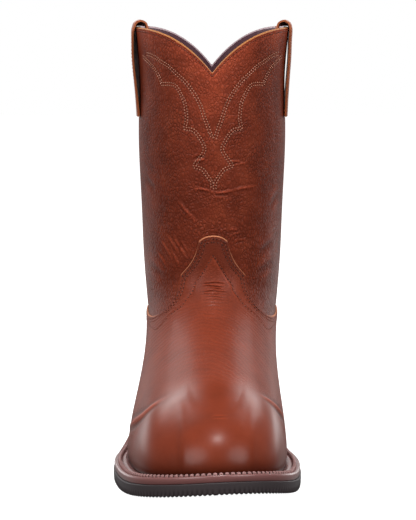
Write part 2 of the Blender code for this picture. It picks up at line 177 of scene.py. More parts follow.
# Middle line of a pull strap: outwards from the rim of the shaft, upwards from the collar.
STRAP_PATH = (
    (-1.5, -57.0),
    (-1.1, -46.0),
    (-0.3, -32.0),
    (0.6, -18.0),
    (1.15, -6.0),
    (1.2, 0.4),
    (0.5, 2.3),
    (-1.1, 3.6),
    (-2.9, 4.1),
    (-4.7, 3.6),
    (-6.3, 2.3),
    (-6.9, 0.4),
    (-6.9, -8.0),
    (-6.8, -22.0),
    (-6.8, -40.0),
)

# Upper edge of the vamp, angle and height from the middle of the tongue: its tip, its flank, the wing that
# runs to the side seam, and behind that the counter. The tongue stands a degree towards the inner side.
FRONT_TURN = 1.0
EDGE_PIECES = (
    ((0.0, 142.4), (4.0, 142.0), (8.0, 140.9), (11.2, 139.2)),
    ((11.2, 139.2), (12.7, 134.6), (15.8, 128.5), (19.9, 123.3), (27.0, 117.3)),
    ((27.0, 117.3), (27.9, 112.2), (29.6, 106.5), (33.5, 101.0), (37.6, 97.4), (44.6, 93.4), (53.4, 90.0),
     (66.0, 87.4), (80.0, 87.2), (96.0, 90.5)),
    ((96.0, 90.5), (118.0, 87.0), (145.0, 93.0), (180.0, 116.0)),
)

# Cut edge of the overlays: its bevel, the least slope that the bevel allows for, how many columns even it
# out, how far the leather rolls down to it, and the stitch rows under it with the angle left free at their
# ends.
EDGE_BEVEL = 0.6
EDGE_STEEPEST = 0.45
EDGE_EVENED = 9
EDGE_ROLL = 0.35
EDGE_ROLL_REACH = 1.0
EDGE_ROWS = (2.0, 4.0)
EDGE_ROW_INSET = 0.6
EDGE_ROW_SAMPLES = 1600

# Where the overlays meet the welt they tuck in, and painted shade darkens them in the crevice over the welt.
WELT_TUCK = 1.1
WELT_TUCK_REACH = 3.0
WELT_CREVICE_PAINTED_SHADE = 0.92
WELT_CREVICE_PAINTED_SHADE_REACH = 6.0

# Stitch row that marks a V on the tongue and runs on along the wing: angle, height.
V_ROW = ((0.0, 130.0), (3.5, 125.5), (7.9, 119.5), (12.1, 114.0), (15.0, 110.7), (15.8, 108.0), (19.5, 103.6),
         (25.0, 98.0), (31.5, 94.0), (41.0, 88.0), (47.0, 83.6), (51.0, 81.8), (56.0, 81.2), (70.0, 81.8),
         (95.5, 84.0))

# Western stitch pattern of the shaft: across from the middle, height. Each line is sewn twice and mirrored.
PATTERN_TWIN = 1.7
PATTERN_UPPER = (
    ((41.8, 255.7), (37.5, 254.5), (32.6, 251.6), (27.6, 248.6), (22.7, 244.2), (18.5, 240.6), (14.5, 236.1),
     (10.3, 230.0), (7.1, 223.7), (5.1, 217.6), (2.6, 210.8), (0.0, 203.0)),
)
PATTERN_LOWER = (
    ((44.1, 253.7), (40.5, 250.7), (36.8, 247.0), (33.7, 242.4), (31.6, 237.2)),
    ((31.6, 237.2), (27.6, 237.6), (23.4, 236.7), (20.0, 231.9), (17.1, 225.8), (16.2, 220.4), (15.9, 214.6),
     (16.9, 209.9)),
    ((16.9, 209.9), (12.4, 209.2), (9.0, 205.8), (6.1, 201.1), (4.7, 196.1), (6.9, 191.8), (11.1, 186.2)),
    ((11.1, 186.2), (6.1, 184.3), (3.4, 180.9), (0.2, 175.3), (0.0, 171.1)),
)

# Stitch row under the collar: its distance from the rim, and the angle left free at its ends.
COLLAR_ROW = 2.4
COLLAR_ROW_INSET = 4.0
COLLAR_ROW_SAMPLES = 400

# Stitches and needle holes: pitch along the row, length, half thickness, and their place within the pitch.
SHAFT_STITCH = (1.75, 1.1, 0.37, 0.5)
SHAFT_HOLE = (1.75, 0.3, 0.24, 0.02)
VAMP_STITCH = (2.5, 1.7, 0.28, 0.5)
VAMP_HOLE = (2.5, 0.8, 0.38, 0.02)
SEAM_STITCH = (2.2, 1.6, 0.3, 0.5)
STRAP_STITCH = (2.3, 1.7, 0.2, 0.5)
WELT_STITCH = (3.4, 2.9, 1.0, 0.5)
WELT_HOLE = (3.4, 0.6, 0.8, 0.02)

# How deep the thread lies in the leather, and the groove that it draws there: half width, depth.
STITCH_SINK = 0.2
SHAFT_GROOVE = (0.55, 0.22)
OVERLAY_GROOVE = (0.65, 0.24)

# One stitch: places along it, how far the thread stands out, and its thickness there, as shares.
STITCH_ALONG = np.asarray((-1.0, -0.66, 0.0, 0.66, 1.0))
STITCH_LIFT = np.asarray((-1.1, 0.2, 0.5, 0.2, -1.1))
STITCH_THICK = np.asarray((0.5, 0.95, 1.0, 0.95, 0.5))
STITCH_SIDES = 6

# The needle holes of the foot leather are wide only on the tongue, above this height.
HOLES_ABOVE = 93.0

# The tongue is darker above the V row: the height where that starts, its fade, the width of its border, the
# amount.
TONGUE_LOW = 112.0
TONGUE_FADE = 14.0
TONGUE_BORDER = 1.5
TONGUE_SHADE = 0.25

# Inside the V row a thin line is painted lighter, a painted highlight of a raised lip: its distance from the
# row, its width, its lightness, and the height where it starts, with a fade.
LIP_INSET = 1.3
LIP_WIDTH = 0.8
LIP_PAINTED_HIGHLIGHT = 0.4
LIP_LOW = 100.0
LIP_FADE = 8.0

# The shaft's leather is a little lighter in its upper middle (angles of the middles, spread, height, reach,
# amount), and under the collar it is painted lighter as painted light from above (amount, reach).
FRONT_MIDDLE = 0.0
BACK_MIDDLE = 180.0
UPPER_LIGHTER_ANGLE = 28.0
UPPER_LIGHTER_HEIGHT = 238.0
UPPER_LIGHTER_REACH = 42.0
UPPER_LIGHTER_AMOUNT = 0.45
COLLAR_PAINTED_LIGHT = 1.2
COLLAR_PAINTED_LIGHT_REACH = 11.0

# Crests of folds are painted lighter as painted highlights and troughs darker as painted shade: amounts per
# millimetre on the shaft and on the vamp, and the heights beyond which they grow no further.
FOLD_CREST_PAINTED_LIGHT = 2.2
FOLD_TROUGH_PAINTED_SHADE = 0.5
CREASE_CREST_PAINTED_LIGHT = 1.9
CREASE_TROUGH_PAINTED_SHADE = 0.9
SHADE_HEIGHT = 0.4
CREASE_SHADE_DEPTH = 0.5

# A fold reaches as far as this many of its half widths, and it fades over this share of its length at either
# end. Then come the points along a fold of the shaft, and the step along one of the toe.
FOLD_MARGIN = 4.0
FOLD_TAPER = 0.35
FOLD_SAMPLES = 40
FOLD_STEP = 1.0

# Folds of the shaft's front and back: across and height of both ends, half width, depth (a ridge has a
# negative one), bow to the side.
FRONT_FOLDS = (
    (-13.5, 171.8, -0.5, 169.6, 0.9, -0.58, 0.9),
    (-1.5, 169.4, 14.0, 171.0, 0.9, -0.58, -0.7),
    (12.0, 170.8, 28.0, 172.6, 0.9, -0.43, 0.4),
    (-2.5, 166.0, 8.6, 166.4, 1.0, -0.29, 0.3),
    (-13.0, 188.0, -4.5, 190.5, 0.9, -0.43, 0.3),
    (-13.5, 190.0, -5.0, 192.4, 0.9, 0.36, 0.3),
    (9.0, 188.5, 19.0, 188.3, 0.8, -0.36, 0.5),
    (12.0, 186.0, 21.5, 187.6, 0.8, -0.29, 0.4),
    (-30.5, 143.5, -21.0, 129.0, 0.9, -0.43, 0.5),
    (-25.5, 141.5, -16.5, 127.0, 0.9, -0.43, 0.4),
    (-33.5, 138.5, -25.0, 125.0, 0.9, -0.43, 0.5),
    (-28.5, 134.0, -20.5, 121.5, 0.9, -0.36, 0.4),
    (-36.0, 131.0, -28.5, 119.5, 0.9, -0.36, 0.4),
    (-21.5, 140.0, -15.5, 131.0, 0.8, -0.29, 0.3),
    (7.0, 146.0, 17.0, 145.0, 0.8, -0.29, 0.4),
    (10.5, 142.5, 20.0, 144.0, 0.8, -0.26, 0.3),
    (12.4, 138.5, 21.6, 139.5, 0.8, -0.26, 0.2),
    (-22.6, 165.0, -13.9, 151.0, 1.1, -0.32, 0.8),
    (-19.0, 160.0, -9.6, 149.0, 1.0, -0.29, 0.6),
    (29.0, 128.0, 40.0, 136.0, 2.6, 0.3, 0.8),
    (27.0, 116.0, 40.5, 122.0, 2.6, 0.3, 0.6),
    (-41.0, 121.0, -30.0, 113.0, 2.6, 0.3, 0.6),
    (-43.5, 176.0, -36.0, 168.0, 2.8, 0.3, 0.6),
    (36.0, 158.0, 43.5, 166.0, 2.8, 0.3, 0.6),
)
BACK_FOLDS = (
    (-30.0, 128.0, -8.0, 122.0, 2.6, 0.5, 1.0),
    (6.0, 124.0, 30.0, 131.0, 2.6, 0.5, 1.0),
    (-24.0, 140.0, 12.0, 137.0, 2.2, 0.4, -1.2),
    (-12.0, 152.0, 22.0, 155.0, 2.2, 0.35, 1.2),
    (-34.0, 166.0, -14.0, 160.0, 2.2, 0.35, 0.8),
)

# Creases where the vamp bends over the instep: height in front, angles of both ends, half width, depth.
FLEX_CREASES = (
    (112.0, -12.0, 13.0, 0.5, 0.45),
    (110.0, -12.0, 12.0, 0.5, 0.45),
    (108.5, -5.0, 9.0, 0.42, 0.35),
    (107.0, -12.5, 5.0, 0.5, 0.4),
    (106.6, -1.0, 13.0, 0.5, 0.42),
    (105.2, -13.0, 12.0, 0.5, 0.34),
    (103.6, -11.0, 13.5, 0.5, 0.26),
    (101.9, -14.0, 11.0, 0.55, 0.2),
    (100.1, -12.0, 15.0, 0.55, 0.17),
    (98.2, -15.0, 12.0, 0.6, 0.14),
    (96.2, -13.0, 16.0, 0.6, 0.12),
    (94.0, -16.0, 14.0, 0.65, 0.1),
    (91.6, -14.0, 17.0, 0.7, 0.09),
    (89.0, -17.0, 15.0, 0.75, 0.08),
    (86.2, -15.0, 17.0, 0.8, 0.07),
    (83.2, -17.0, 14.0, 0.8, 0.06),
)

# The creases waver: how far in climb, over how many degrees, and the shift from one to the next.
CREASE_WAVE = 0.0016
CREASE_WAVE_TURN = 3.0
CREASE_WAVE_SHIFT = 5.0
CREASE_SAMPLES = 60

# Edges of the stiff toe box, as soft ridges, and a short crease above the toe: places in millimetres, half
# width, depth (a ridge has a negative one).
TOE_FOLDS = (
    (((-46.0, -13.0, 25.0), (-42.0, -48.0, 34.0), (-35.0, -74.0, 45.0), (-17.0, -84.0, 57.0)), 2.6, -0.9),
    (((45.0, -38.0, 34.0), (41.0, -58.0, 42.0), (36.0, -75.0, 50.0), (27.0, -84.5, 56.5)), 2.2, -0.9),
    (((1.0, -118.6, 47.6), (6.5, -119.2, 48.0), (12.0, -118.6, 47.6)), 0.8, 0.4),
)

# Back edge of the stiff toe box, seen from above (x, y): an arc on each side and a deep U between them. In
# front of it the leather stands higher by TOE_PUFF, easing in over one length and out over another, and less
# towards the sides.
TOE_BOX_EDGE = ((-52.0, 8.0), (-46.0, -13.0), (-42.0, -48.0), (-35.0, -74.0), (-26.0, -83.0), (-17.0, -88.0),
                (-11.0, -101.0), (-3.0, -115.0), (6.5, -119.0), (15.0, -115.0), (21.5, -101.0), (27.0, -87.0),
                (32.0, -81.0), (36.0, -75.0), (41.0, -58.0), (45.0, -38.0), (52.0, -10.0))
TOE_PUFF = 1.2
TOE_PUFF_IN = 15.0
TOE_PUFF_OUT = 30.0
TOE_PUFF_SIDE = 32.0
TOE_PUFF_FADE = 12.0

# The toe box is polished smooth from here on forwards, over this length.
POLISH_START_Y = -60.0
POLISH_LENGTH = 34.0

# Fine creases over the instep: their pitch, the heights between which they show, the fade at both ends, how
# fast they bend down to the sides (per millimetre), and the painted highlight on their crests. One turn of
# the wave texture is pi / 10 of its own unit. The rest is how unevenly the texture draws the creases.
RIPPLE_PITCH = 1.7
RIPPLE_LOW = 56.0
RIPPLE_HIGH = 107.0
RIPPLE_FADE = 14.0
RIPPLE_ARC = 0.018
RIPPLE_PAINTED_LIGHT = 0.16
RIPPLE_DISTORTION = 5.0
RIPPLE_DETAIL = 1.5
RIPPLE_DETAIL_SCALE = 0.7
WAVE_TURN = np.pi / 10.0

# Grain of every leather, as shares of the size of a pebble or of a cloud in the dye, or of a pebble's height:
# how the pebbles' outlines wander, how wide their slopes are, the finer grain on them, the waves under them,
# and the patches in which the grain is strongest.
WANDER_SCALE = 0.4
PEBBLE_SLOPE = 0.3
FINE_SCALE = 2.2
FINE_HEIGHT = 0.35
DRAPE_SCALE = 0.3
PATCH_SCALE = 0.7
PATCH_RANGE = (0.35, 0.62)
PATCH_LEAST = 0.55
DYE_STOPS = (0.3, 0.5, 0.72)
LEATHER_IOR = 1.48
COAT_ROUGHNESS = 0.25

# Grids of the leather pieces. The vamp has more rows where the creases cross it: how many more, and the
# middle and spread of them as shares of the way up.
SHAFT_COLUMNS = 330
SHAFT_ROWS = 230
BACK_COLUMNS = 200
BACK_ROWS = 150
VAMP_COLUMNS = 300
VAMP_ROWS = 240
COUNTER_COLUMNS = 150
COUNTER_ROWS = 90
VAMP_MORE_ROWS = 4.5
VAMP_MORE_MIDDLE = 0.77
VAMP_MORE_SPREAD = 0.055
VAMP_EDGE_SAMPLES = 3000
VAMP_ROW_SAMPLES = 2000
INNER_ROWS = 28
LINING_COLUMNS = 160
LINING_ROWS = 60
SHAFT_UNDERLAP = 7.0
RIM_BEVEL = 0.6
LINING_BEVEL = 1.0
LINING_BELOW_RIM = 0.3

# Welt section: share of the way from the feather line to the edge, millimetres past that, height over its
# underside.
WELT_SECTION = (
    (0.0, -WELT_UNDERLAP, 0.0),
    (0.0, -WELT_UNDERLAP, WELT_THICKNESS),
    (0.0, 1.6, WELT_THICKNESS),
    (0.2, 0.6, WELT_THICKNESS + 0.5),
    (0.34, 0.5, WELT_THICKNESS + 0.3),
    (0.46, 0.0, WELT_THICKNESS - 0.2),
    (0.6, 0.0, WELT_THICKNESS - 0.5),
    (0.74, 0.0, WELT_THICKNESS - 0.3),
    (0.84, 0.0, WELT_THICKNESS - 0.05),
    (0.93, 0.0, WELT_THICKNESS - 0.1),
    (1.0, -0.2, WELT_THICKNESS - 0.6),
    (1.0, 0.0, WELT_THICKNESS - 1.2),
    (1.0, 0.0, 0.5),
    (1.0, -0.4, 0.0),
)

# The welt's stitch row: its share of the way to the edge, its height over the welt, and the angle where it
# ends.
WELT_ROW = 0.63
WELT_ROW_HEIGHT = 0.1
WELT_SEWN_ANGLE = 125.0
WELT_COLUMNS = 900
WELT_ROW_SAMPLES = 3000

# Bumps along the forefoot's edge, which end with a fade, and the recess of the tread under the sprung toe.
BUMP_PITCH = 3.0
BUMP_DEPTH = 0.85
BUMP_LAST_ANGLE = 100.0
BUMP_FADE = 6.0
TREAD_RECESS = 1.5
TREAD_RECESS_LENGTH = 14.0

# Outsole section from its top to the recessed tread: millimetres past the edge, height over the tread, how
# far the notches between the bumps go in, and how far up as a share of their depth.
OUTSOLE_SECTION = (
    (-0.5, OUTSOLE_THICKNESS, 0.0, 0.0),
    (0.0, OUTSOLE_THICKNESS - 0.5, 0.0, 0.0),
    (0.0, OUTSOLE_THICKNESS * 0.55, 0.0, 0.0),
    (-0.1, OUTSOLE_THICKNESS * 0.4, 0.2, 0.0),
    (-0.1, 1.7, 0.7, 0.2),
    (-0.2, 0.8, 0.9, 0.6),
    (-0.6, 0.1, 0.7, 1.0),
    (-1.2, 0.0, 0.3, 1.0),
    (-1.8, TREAD_RECESS, 0.0, 0.0),
    (-9.0, TREAD_RECESS, 0.0, 0.0),
)
OUTSOLE_COLUMNS = 1800

# Steps either side of a place for a direction, samples along an edge, and the angle of a sharp edge.
TURN_STEP = 0.4
CLIMB_STEP = 0.01
EDGE_SAMPLES = 1200
SHARP_ANGLE = 40.0
SAMPLED_CLIMBS = np.linspace(0.0, 2.0, 401)
LINE_STEP = 0.2


def natural_spline(knots, values):
    """Return a smooth function through the values, straight beyond its ends."""
    knots = np.asarray(knots, float)
    values = np.asarray(values, float)
    count = len(knots)
    spans = np.diff(knots)
    slopes = np.diff(values) / spans
    system = np.eye(count)
    bends = np.zeros(count)
    for row in range(1, count - 1):
        system[row, row - 1] = spans[row - 1]
        system[row, row] = 2.0 * (spans[row - 1] + spans[row])
        system[row, row + 1] = spans[row]
        bends[row] = 6.0 * (slopes[row] - slopes[row - 1])
    bends = np.linalg.solve(system, bends)

    def value(place):
        place = np.asarray(place, float)
        inside = np.clip(place, knots[0], knots[-1])
        row = np.clip(np.searchsorted(knots, inside, side="right") - 1, 0, count - 2)
        step = inside - knots[row]
        span = spans[row]
        slope = slopes[row] - span * (2.0 * bends[row] + bends[row + 1]) / 6.0
        curved = (bends[row + 1] - bends[row]) / (6.0 * span)
        result = values[row] + step * (slope + step * (bends[row] / 2.0 + step * curved))
        start_slope = slopes[0] - spans[0] * bends[1] / 6.0
        end_slope = slopes[-1] + spans[-1] * bends[-2] / 6.0
        result = result + np.minimum(place - knots[0], 0.0) * start_slope
        return result + np.maximum(place - knots[-1], 0.0) * end_slope

    return value


def ring_spline(angles, inner, outer):
    """Return a smooth function of the angle round the boot, from values on its inner and outer sides."""
    angles = list(angles)
    turn = angles + [360.0 - angle for angle in angles[-2:0:-1]]
    values = list(inner) + list(outer[-2:0:-1])
    knots = np.concatenate([np.asarray(turn) + shift for shift in (-360.0, 0.0, 360.0)])
    wave = natural_spline(knots, np.tile(values, 3))
    return lambda angle: wave(np.mod(angle, 360.0))


feather_angles, feather_ys, feather_inner, feather_outer = zip(*FEATHER)
feather_x = ring_spline(feather_angles, feather_inner, feather_outer)
feather_y = ring_spline(feather_angles, feather_ys, feather_ys)

wall_angles, wall_rises, wall_leans, wall_drops = zip(*WALLS)
wall_rise = ring_spline(wall_angles, wall_rises, wall_rises)
wall_lean = ring_spline(wall_angles, wall_leans, wall_leans)
wall_drop = ring_spline(wall_angles, wall_drops, wall_drops)

leg_heights, leg_fronts, leg_backs, leg_widths = zip(*LEG)
leg_front = natural_spline(leg_heights, leg_fronts)
leg_back = natural_spline(leg_heights, leg_backs)
leg_half_width = natural_spline(leg_heights, leg_widths)


def signed_angle(angle):
    """Angle from the toe, negative on the outer side of the boot."""
    return np.mod(np.asarray(angle, float) + 180.0, 360.0) - 180.0


def smooth_step(share):
    """Ease from 0 to 1."""
    share = np.clip(share, 0.0, 1.0)
    return share * share * (3.0 - 2.0 * share)

def in_one_shape(*values):
    """Arrays of one shape from numbers or arrays that fit together."""
    return np.broadcast_arrays(*(np.asarray(value, float) for value in values))


def bell(distance):
    """1 in the middle, falling to 0 on either side."""
    return np.exp(-distance ** 2)


def unit(vectors):
    """The same directions at a length of 1."""
    return vectors / np.linalg.norm(vectors, axis=-1, keepdims=True)


def even_shares(count):
    """A column of even steps from 0 to 1."""
    return np.linspace(0.0, 1.0, count)[:, None]


def run_along(points):
    """Distance of each point from the first, along the line that they make."""
    return np.concatenate([[0.0], np.cumsum(np.linalg.norm(np.diff(points, axis=0), axis=1))])


def between(where, places, values):
    """Points of a line at distances along it."""
    return np.stack([np.interp(where, places, column) for column in values.T], axis=1)


def through(knots, places):
    """Points of a smooth line through the knots, at distances along it."""
    length = run_along(knots)
    return np.stack([natural_spline(length, column)(places) for column in knots.T], axis=1)


def tread_z(x, y):
    """Height of the outsole's underside: sprung at the toe, where the inner side lifts more, and arched."""
    y = np.asarray(y, float)
    toe = np.clip((TREAD_FRONT_Y - y) / (TREAD_FRONT_Y - TREAD_TOE_Y), 0.0, None)
    arch = smooth_step((y - TREAD_BACK_Y) / (BREAST_Y - TREAD_BACK_Y))
    seat = np.maximum(y - BREAST_Y, 0.0)
    spring = (TOE_SPRING + TOE_TWIST * x) * toe ** TOE_SPRING_POWER
    return spring + SEAT_HEIGHT * arch + SEAT_SLOPE * seat


def outsole_top_z(x, y):
    return tread_z(x, y) + OUTSOLE_THICKNESS


def feather_z(x, y):
    return outsole_top_z(x, y) + GAP + WELT_THICKNESS + GAP


def plan_normal(angle):
    """Outward direction across the feather line, seen from above."""
    along_x = feather_x(angle + TURN_STEP) - feather_x(angle - TURN_STEP)
    along_y = feather_y(angle + TURN_STEP) - feather_y(angle - TURN_STEP)
    length = np.hypot(along_x, along_y)
    return along_y / length, -along_x / length


def plan_point(angle, outwards):
    """Place beside the feather line, seen from above."""
    across_x, across_y = plan_normal(angle)
    return feather_x(angle) + outwards * across_x, feather_y(angle) + outwards * across_y


def reach(angle):
    """How far the welt stands out from the feather line."""
    share = smooth_step((np.abs(signed_angle(angle)) - SEAM_ANGLE / 2.0) / SEAM_ANGLE)
    return REACH_FRONT + (REACH_HEEL - REACH_FRONT) * share


def sole_middle():
    """Middle of the sole's box, seen from above; the finished boot has it at the origin."""
    angles = np.linspace(0.0, 360.0, EDGE_SAMPLES)
    x, y = plan_point(angles, reach(angles) + OUTSOLE_EXTRA)
    return np.asarray([x.min() + x.max(), y.min() + y.max(), 0.0]) / 2.0


SOLE_MIDDLE = sole_middle()


def leg_point(angle, height):
    """Outside of the shaft at an angle and a height."""
    turn = np.radians(angle)
    middle = (leg_front(height) + leg_back(height)) / 2.0
    half_depth = (leg_back(height) - leg_front(height)) / 2.0
    x = LEG_X + leg_half_width(height) * np.sin(turn)
    y = middle - half_depth * np.cos(turn)
    return np.stack([x, y, np.broadcast_to(height, x.shape)], axis=-1)


def throat_z(angle):
    return THROAT_SIDE + THROAT_RISE * ((1.0 + np.cos(np.radians(angle))) / 2.0) ** 2


def collar_z(angle):
    dip = (1.0 - np.abs(np.sin(np.radians(angle)))) ** COLLAR_POWER
    return COLLAR_HEIGHT - COLLAR_DIP * dip


def outside(angle, climb):
    """Point on the outside of the upper."""
    angle, climb = in_one_shape(angle, climb)
    throat = throat_z(angle)
    foot_x = feather_x(angle)
    foot_y = feather_y(angle)
    start = np.stack([foot_x, foot_y, feather_z(foot_x, foot_y)], axis=-1)
    across_x, across_y = plan_normal(angle)
    lean = wall_lean(angle)
    lift = np.stack([lean * across_x, lean * across_y, wall_rise(angle)], axis=-1)
    low = leg_point(angle, throat - wall_drop(angle))
    top = leg_point(angle, throat)
    share = np.clip(climb, 0.0, 1.0)[..., None]
    rest = 1.0 - share
    foot = rest ** 3 * start + 3.0 * rest ** 2 * share * (start + lift)
    foot = foot + 3.0 * rest * share ** 2 * low + share ** 3 * top
    height = throat + np.clip(climb - 1.0, 0.0, 1.0) * (collar_z(angle) - throat)
    shaft = leg_point(angle, height)
    return np.where((climb <= 1.0)[..., None], foot, shaft)


def outward(angle, climb):
    """Unit direction out of the upper."""
    angle, climb = in_one_shape(angle, climb)
    along = outside(angle + TURN_STEP, climb) - outside(angle - TURN_STEP, climb)
    above = outside(angle, np.minimum(climb + CLIMB_STEP, 2.0))
    below = outside(angle, np.maximum(climb - CLIMB_STEP, 0.0))
    normal = np.cross(along, above - below)
    edge = (climb <= 0.0) | (climb >= 2.0)
    normal[..., 2] = np.where(edge, 0.0, normal[..., 2])
    return unit(normal)


def layer(angle, climb, offset):
    """Point at a distance outside the upper; the lowest row keeps to the welt."""
    angle, climb, offset = in_one_shape(angle, climb, offset)
    point = outside(angle, climb) + offset[..., None] * outward(angle, climb)
    point[..., 2] = np.where(climb <= 0.0, feather_z(point[..., 0], point[..., 1]), point[..., 2])
    return point


def climb_at(angle, height):
    """Climb at which the upper's outside reaches each height."""
    angle, height = in_one_shape(angle, height)
    heights = outside(angle[:, None], SAMPLED_CLIMBS[None, :])[..., 2]
    return np.asarray([np.interp(goal, row, SAMPLED_CLIMBS) for goal, row in zip(height, heights)])


def smooth_line(pieces, step):
    """Points at an even step along lines that are smooth between their ends and meet in corners."""
    parts = []
    for knots in pieces:
        knots = np.asarray(knots, float)
        length = run_along(knots)[-1]
        places = np.linspace(0.0, length, max(int(length / step), 2) + 1)
        parts.append(through(knots, places)[:-1])
    return np.concatenate(parts + [[pieces[-1][-1]]])


def tongue_turn(angle):
    """How far the front stands towards the inner side, easing off to the side seams."""
    return FRONT_TURN * np.clip(1.0 - np.abs(angle) / SEAM_ANGLE, 0.0, 1.0)


def turned(angle):
    """Angle round the boot from one measured off the tongue's middle."""
    return angle + tongue_turn(angle)


EDGE_LINE = smooth_line(EDGE_PIECES, LINE_STEP)


def edge_height(angle):
    """Height of the overlays' upper edge."""
    angle = signed_angle(angle)
    return np.interp(np.abs(angle - tongue_turn(angle)), EDGE_LINE[:, 0], EDGE_LINE[:, 1])


def v_row_height(angle):
    """Height of the tongue's V row."""
    row_angles, row_heights = zip(*V_ROW)
    return np.interp(np.abs(signed_angle(angle)), row_angles, row_heights)


def shaft_place(across, height, behind):
    """Angle and climb on the shaft's front or back of a place given across from its middle and in height."""
    angle = np.degrees(np.arcsin(np.clip(across / leg_half_width(height), -1.0, 1.0)))
    angle = turned(angle) if not behind else 180.0 - angle
    throat = throat_z(angle)
    return angle, 1.0 + (height - throat) / (collar_z(angle) - throat)


def beside(angle, climb, distance):
    """Line moved sideways over the leather by a distance, to its left as seen from outside."""
    points = outside(angle, climb)
    along = unit(np.gradient(points, axis=0))
    side = np.cross(outward(angle, climb), along)
    per_turn = (outside(angle + TURN_STEP, climb) - outside(angle - TURN_STEP, climb)) / (2.0 * TURN_STEP)
    lower = np.minimum(climb, 2.0 - CLIMB_STEP)
    per_climb = (outside(angle, lower + CLIMB_STEP) - outside(angle, lower)) / CLIMB_STEP
    turn_turn = (per_turn * per_turn).sum(axis=1)
    turn_climb = (per_turn * per_climb).sum(axis=1)
    climb_climb = (per_climb * per_climb).sum(axis=1)
    turn_side = distance * (per_turn * side).sum(axis=1)
    climb_side = distance * (per_climb * side).sum(axis=1)
    whole = turn_turn * climb_climb - turn_climb ** 2
    moved_angle = angle + (climb_climb * turn_side - turn_climb * climb_side) / whole
    moved_climb = climb + (turn_turn * climb_side - turn_climb * turn_side) / whole
    return moved_angle, moved_climb


def fold_relief(points, folds):
    """Height that soft folds add to the leather: a trough along each line with low ridges beside it."""
    flat = points.reshape(-1, 3)
    relief = np.zeros(len(flat))
    for line, width, depth in folds:
        margin = FOLD_MARGIN * width
        near = np.all((flat > line.min(axis=0) - margin) & (flat < line.max(axis=0) + margin), axis=1)
        gaps = np.linalg.norm(flat[near][:, None, :] - line[None, :, :], axis=2)
        nearest = gaps.argmin(axis=1)
        spread = (gaps.min(axis=1) / width) ** 2
        share = nearest / (len(line) - 1.0)
        taper = smooth_step(np.minimum(share, 1.0 - share) / FOLD_TAPER)
        relief[near] += taper * depth * (spread - 1.0) * np.exp(-spread / 2.0)
    return relief.reshape(points.shape[:-1])


def toe_box_relief(points):
    """Height that the stiff toe box adds to the leather in front of its back edge."""
    x = points[..., 0]
    edge_x, edge_y = smooth_line((TOE_BOX_EDGE,), FOLD_STEP).T
    steep = np.gradient(edge_y, edge_x)
    slant = np.sqrt(1.0 + np.interp(x, edge_x, steep) ** 2)
    forward = (np.interp(x, edge_x, edge_y) - points[..., 1]) / slant
    rise = smooth_step((forward + TOE_PUFF_IN / 2.0) / TOE_PUFF_IN)
    fall = 1.0 - smooth_step((forward - TOE_PUFF_IN / 2.0) / TOE_PUFF_OUT)
    side = 1.0 - smooth_step((np.abs(x - LEG_X) - TOE_PUFF_SIDE) / TOE_PUFF_FADE)
    return TOE_PUFF * rise * fall * side


def painted_fold_shading(relief, crest, trough, deepest):
    """Painted highlight on the crests of folds and painted shade in their troughs."""
    return crest * np.clip(relief, 0.0, SHADE_HEIGHT) + trough * np.clip(relief, -deepest, 0.0)


def groove_relief(points, rows, width, depth):
    """Height that sewing takes from the leather along stitch rows."""
    spots = np.concatenate(rows)
    tree = KDTree(len(spots))
    for number, spot in enumerate(spots):
        tree.insert(spot, number)
    tree.balance()
    gaps = np.asarray([tree.find(point)[2] for point in points.reshape(-1, 3)])
    return -depth * np.exp(-((gaps / width) ** 2) / 2.0).reshape(points.shape[:-1])


def to_linear(hex_colour):
    """Linear colour from an sRGB hex value."""
    linear = []
    for place in (0, 2, 4):
        value = int(hex_colour[place:place + 2], 16) / 255.0
        linear.append(((value + 0.055) / 1.055) ** 2.4 if value > 0.04045 else value / 12.92)
    return linear + [1.0]


def feed(tree, node, inputs):
    """Give a node its inputs, each a value or another node's output."""
    for key, value in inputs.items():
        if isinstance(value, bpy.types.NodeSocket):
            tree.links.new(value, node.inputs[key])
        else:
            node.inputs[key].default_value = value


def put(tree, kind, inputs, **settings):
    """Add a node with its settings and inputs."""
    node = tree.nodes.new(kind)
    for name, value in settings.items():
        setattr(node, name, value)
    feed(tree, node, inputs)
    return node


def maths(tree, operation, *values):
    """Output that works out one number from others."""
    return put(tree, "ShaderNodeMath", dict(enumerate(values)), operation=operation).outputs[0]


def noise(tree, place, scale, detail, roughness=0.5):
    """Outputs of a cloudy pattern."""
    inputs = {"Vector": place, "Scale": scale, "Detail": detail, "Roughness": roughness}
    return put(tree, "ShaderNodeTexNoise", inputs).outputs


def remap(tree, value, low, high, at_low, at_high, way="SMOOTHSTEP"):
    """Output that goes from one amount to another while a value goes from low to high."""
    inputs = {"Value": value, "From Min": low, "From Max": high, "To Min": at_low, "To Max": at_high}
    return put(tree, "ShaderNodeMapRange", inputs, interpolation_type=way).outputs[0]


def amount_of(tree, name):
    """Output with the amount that a piece has been given at each of its points."""
    return put(tree, "ShaderNodeAttribute", {}, attribute_name=name).outputs["Fac"]


def scaled(tree, colour, amount):
    """Output with a colour made lighter or darker."""
    return put(tree, "ShaderNodeVectorMath", {0: colour, "Scale": amount}, operation="SCALE").outputs[0]


def new_finish(name, colour):
    """A new finish with its nodes, its shader and the output that gives the place on a piece."""
    made = bpy.data.materials.new(name)
    made.use_nodes = True
    made.diffuse_color = to_linear(colour)
    tree = made.node_tree
    place = put(tree, "ShaderNodeTexCoord", {}).outputs["Object"]
    return made, tree, tree.nodes["Principled BSDF"], place


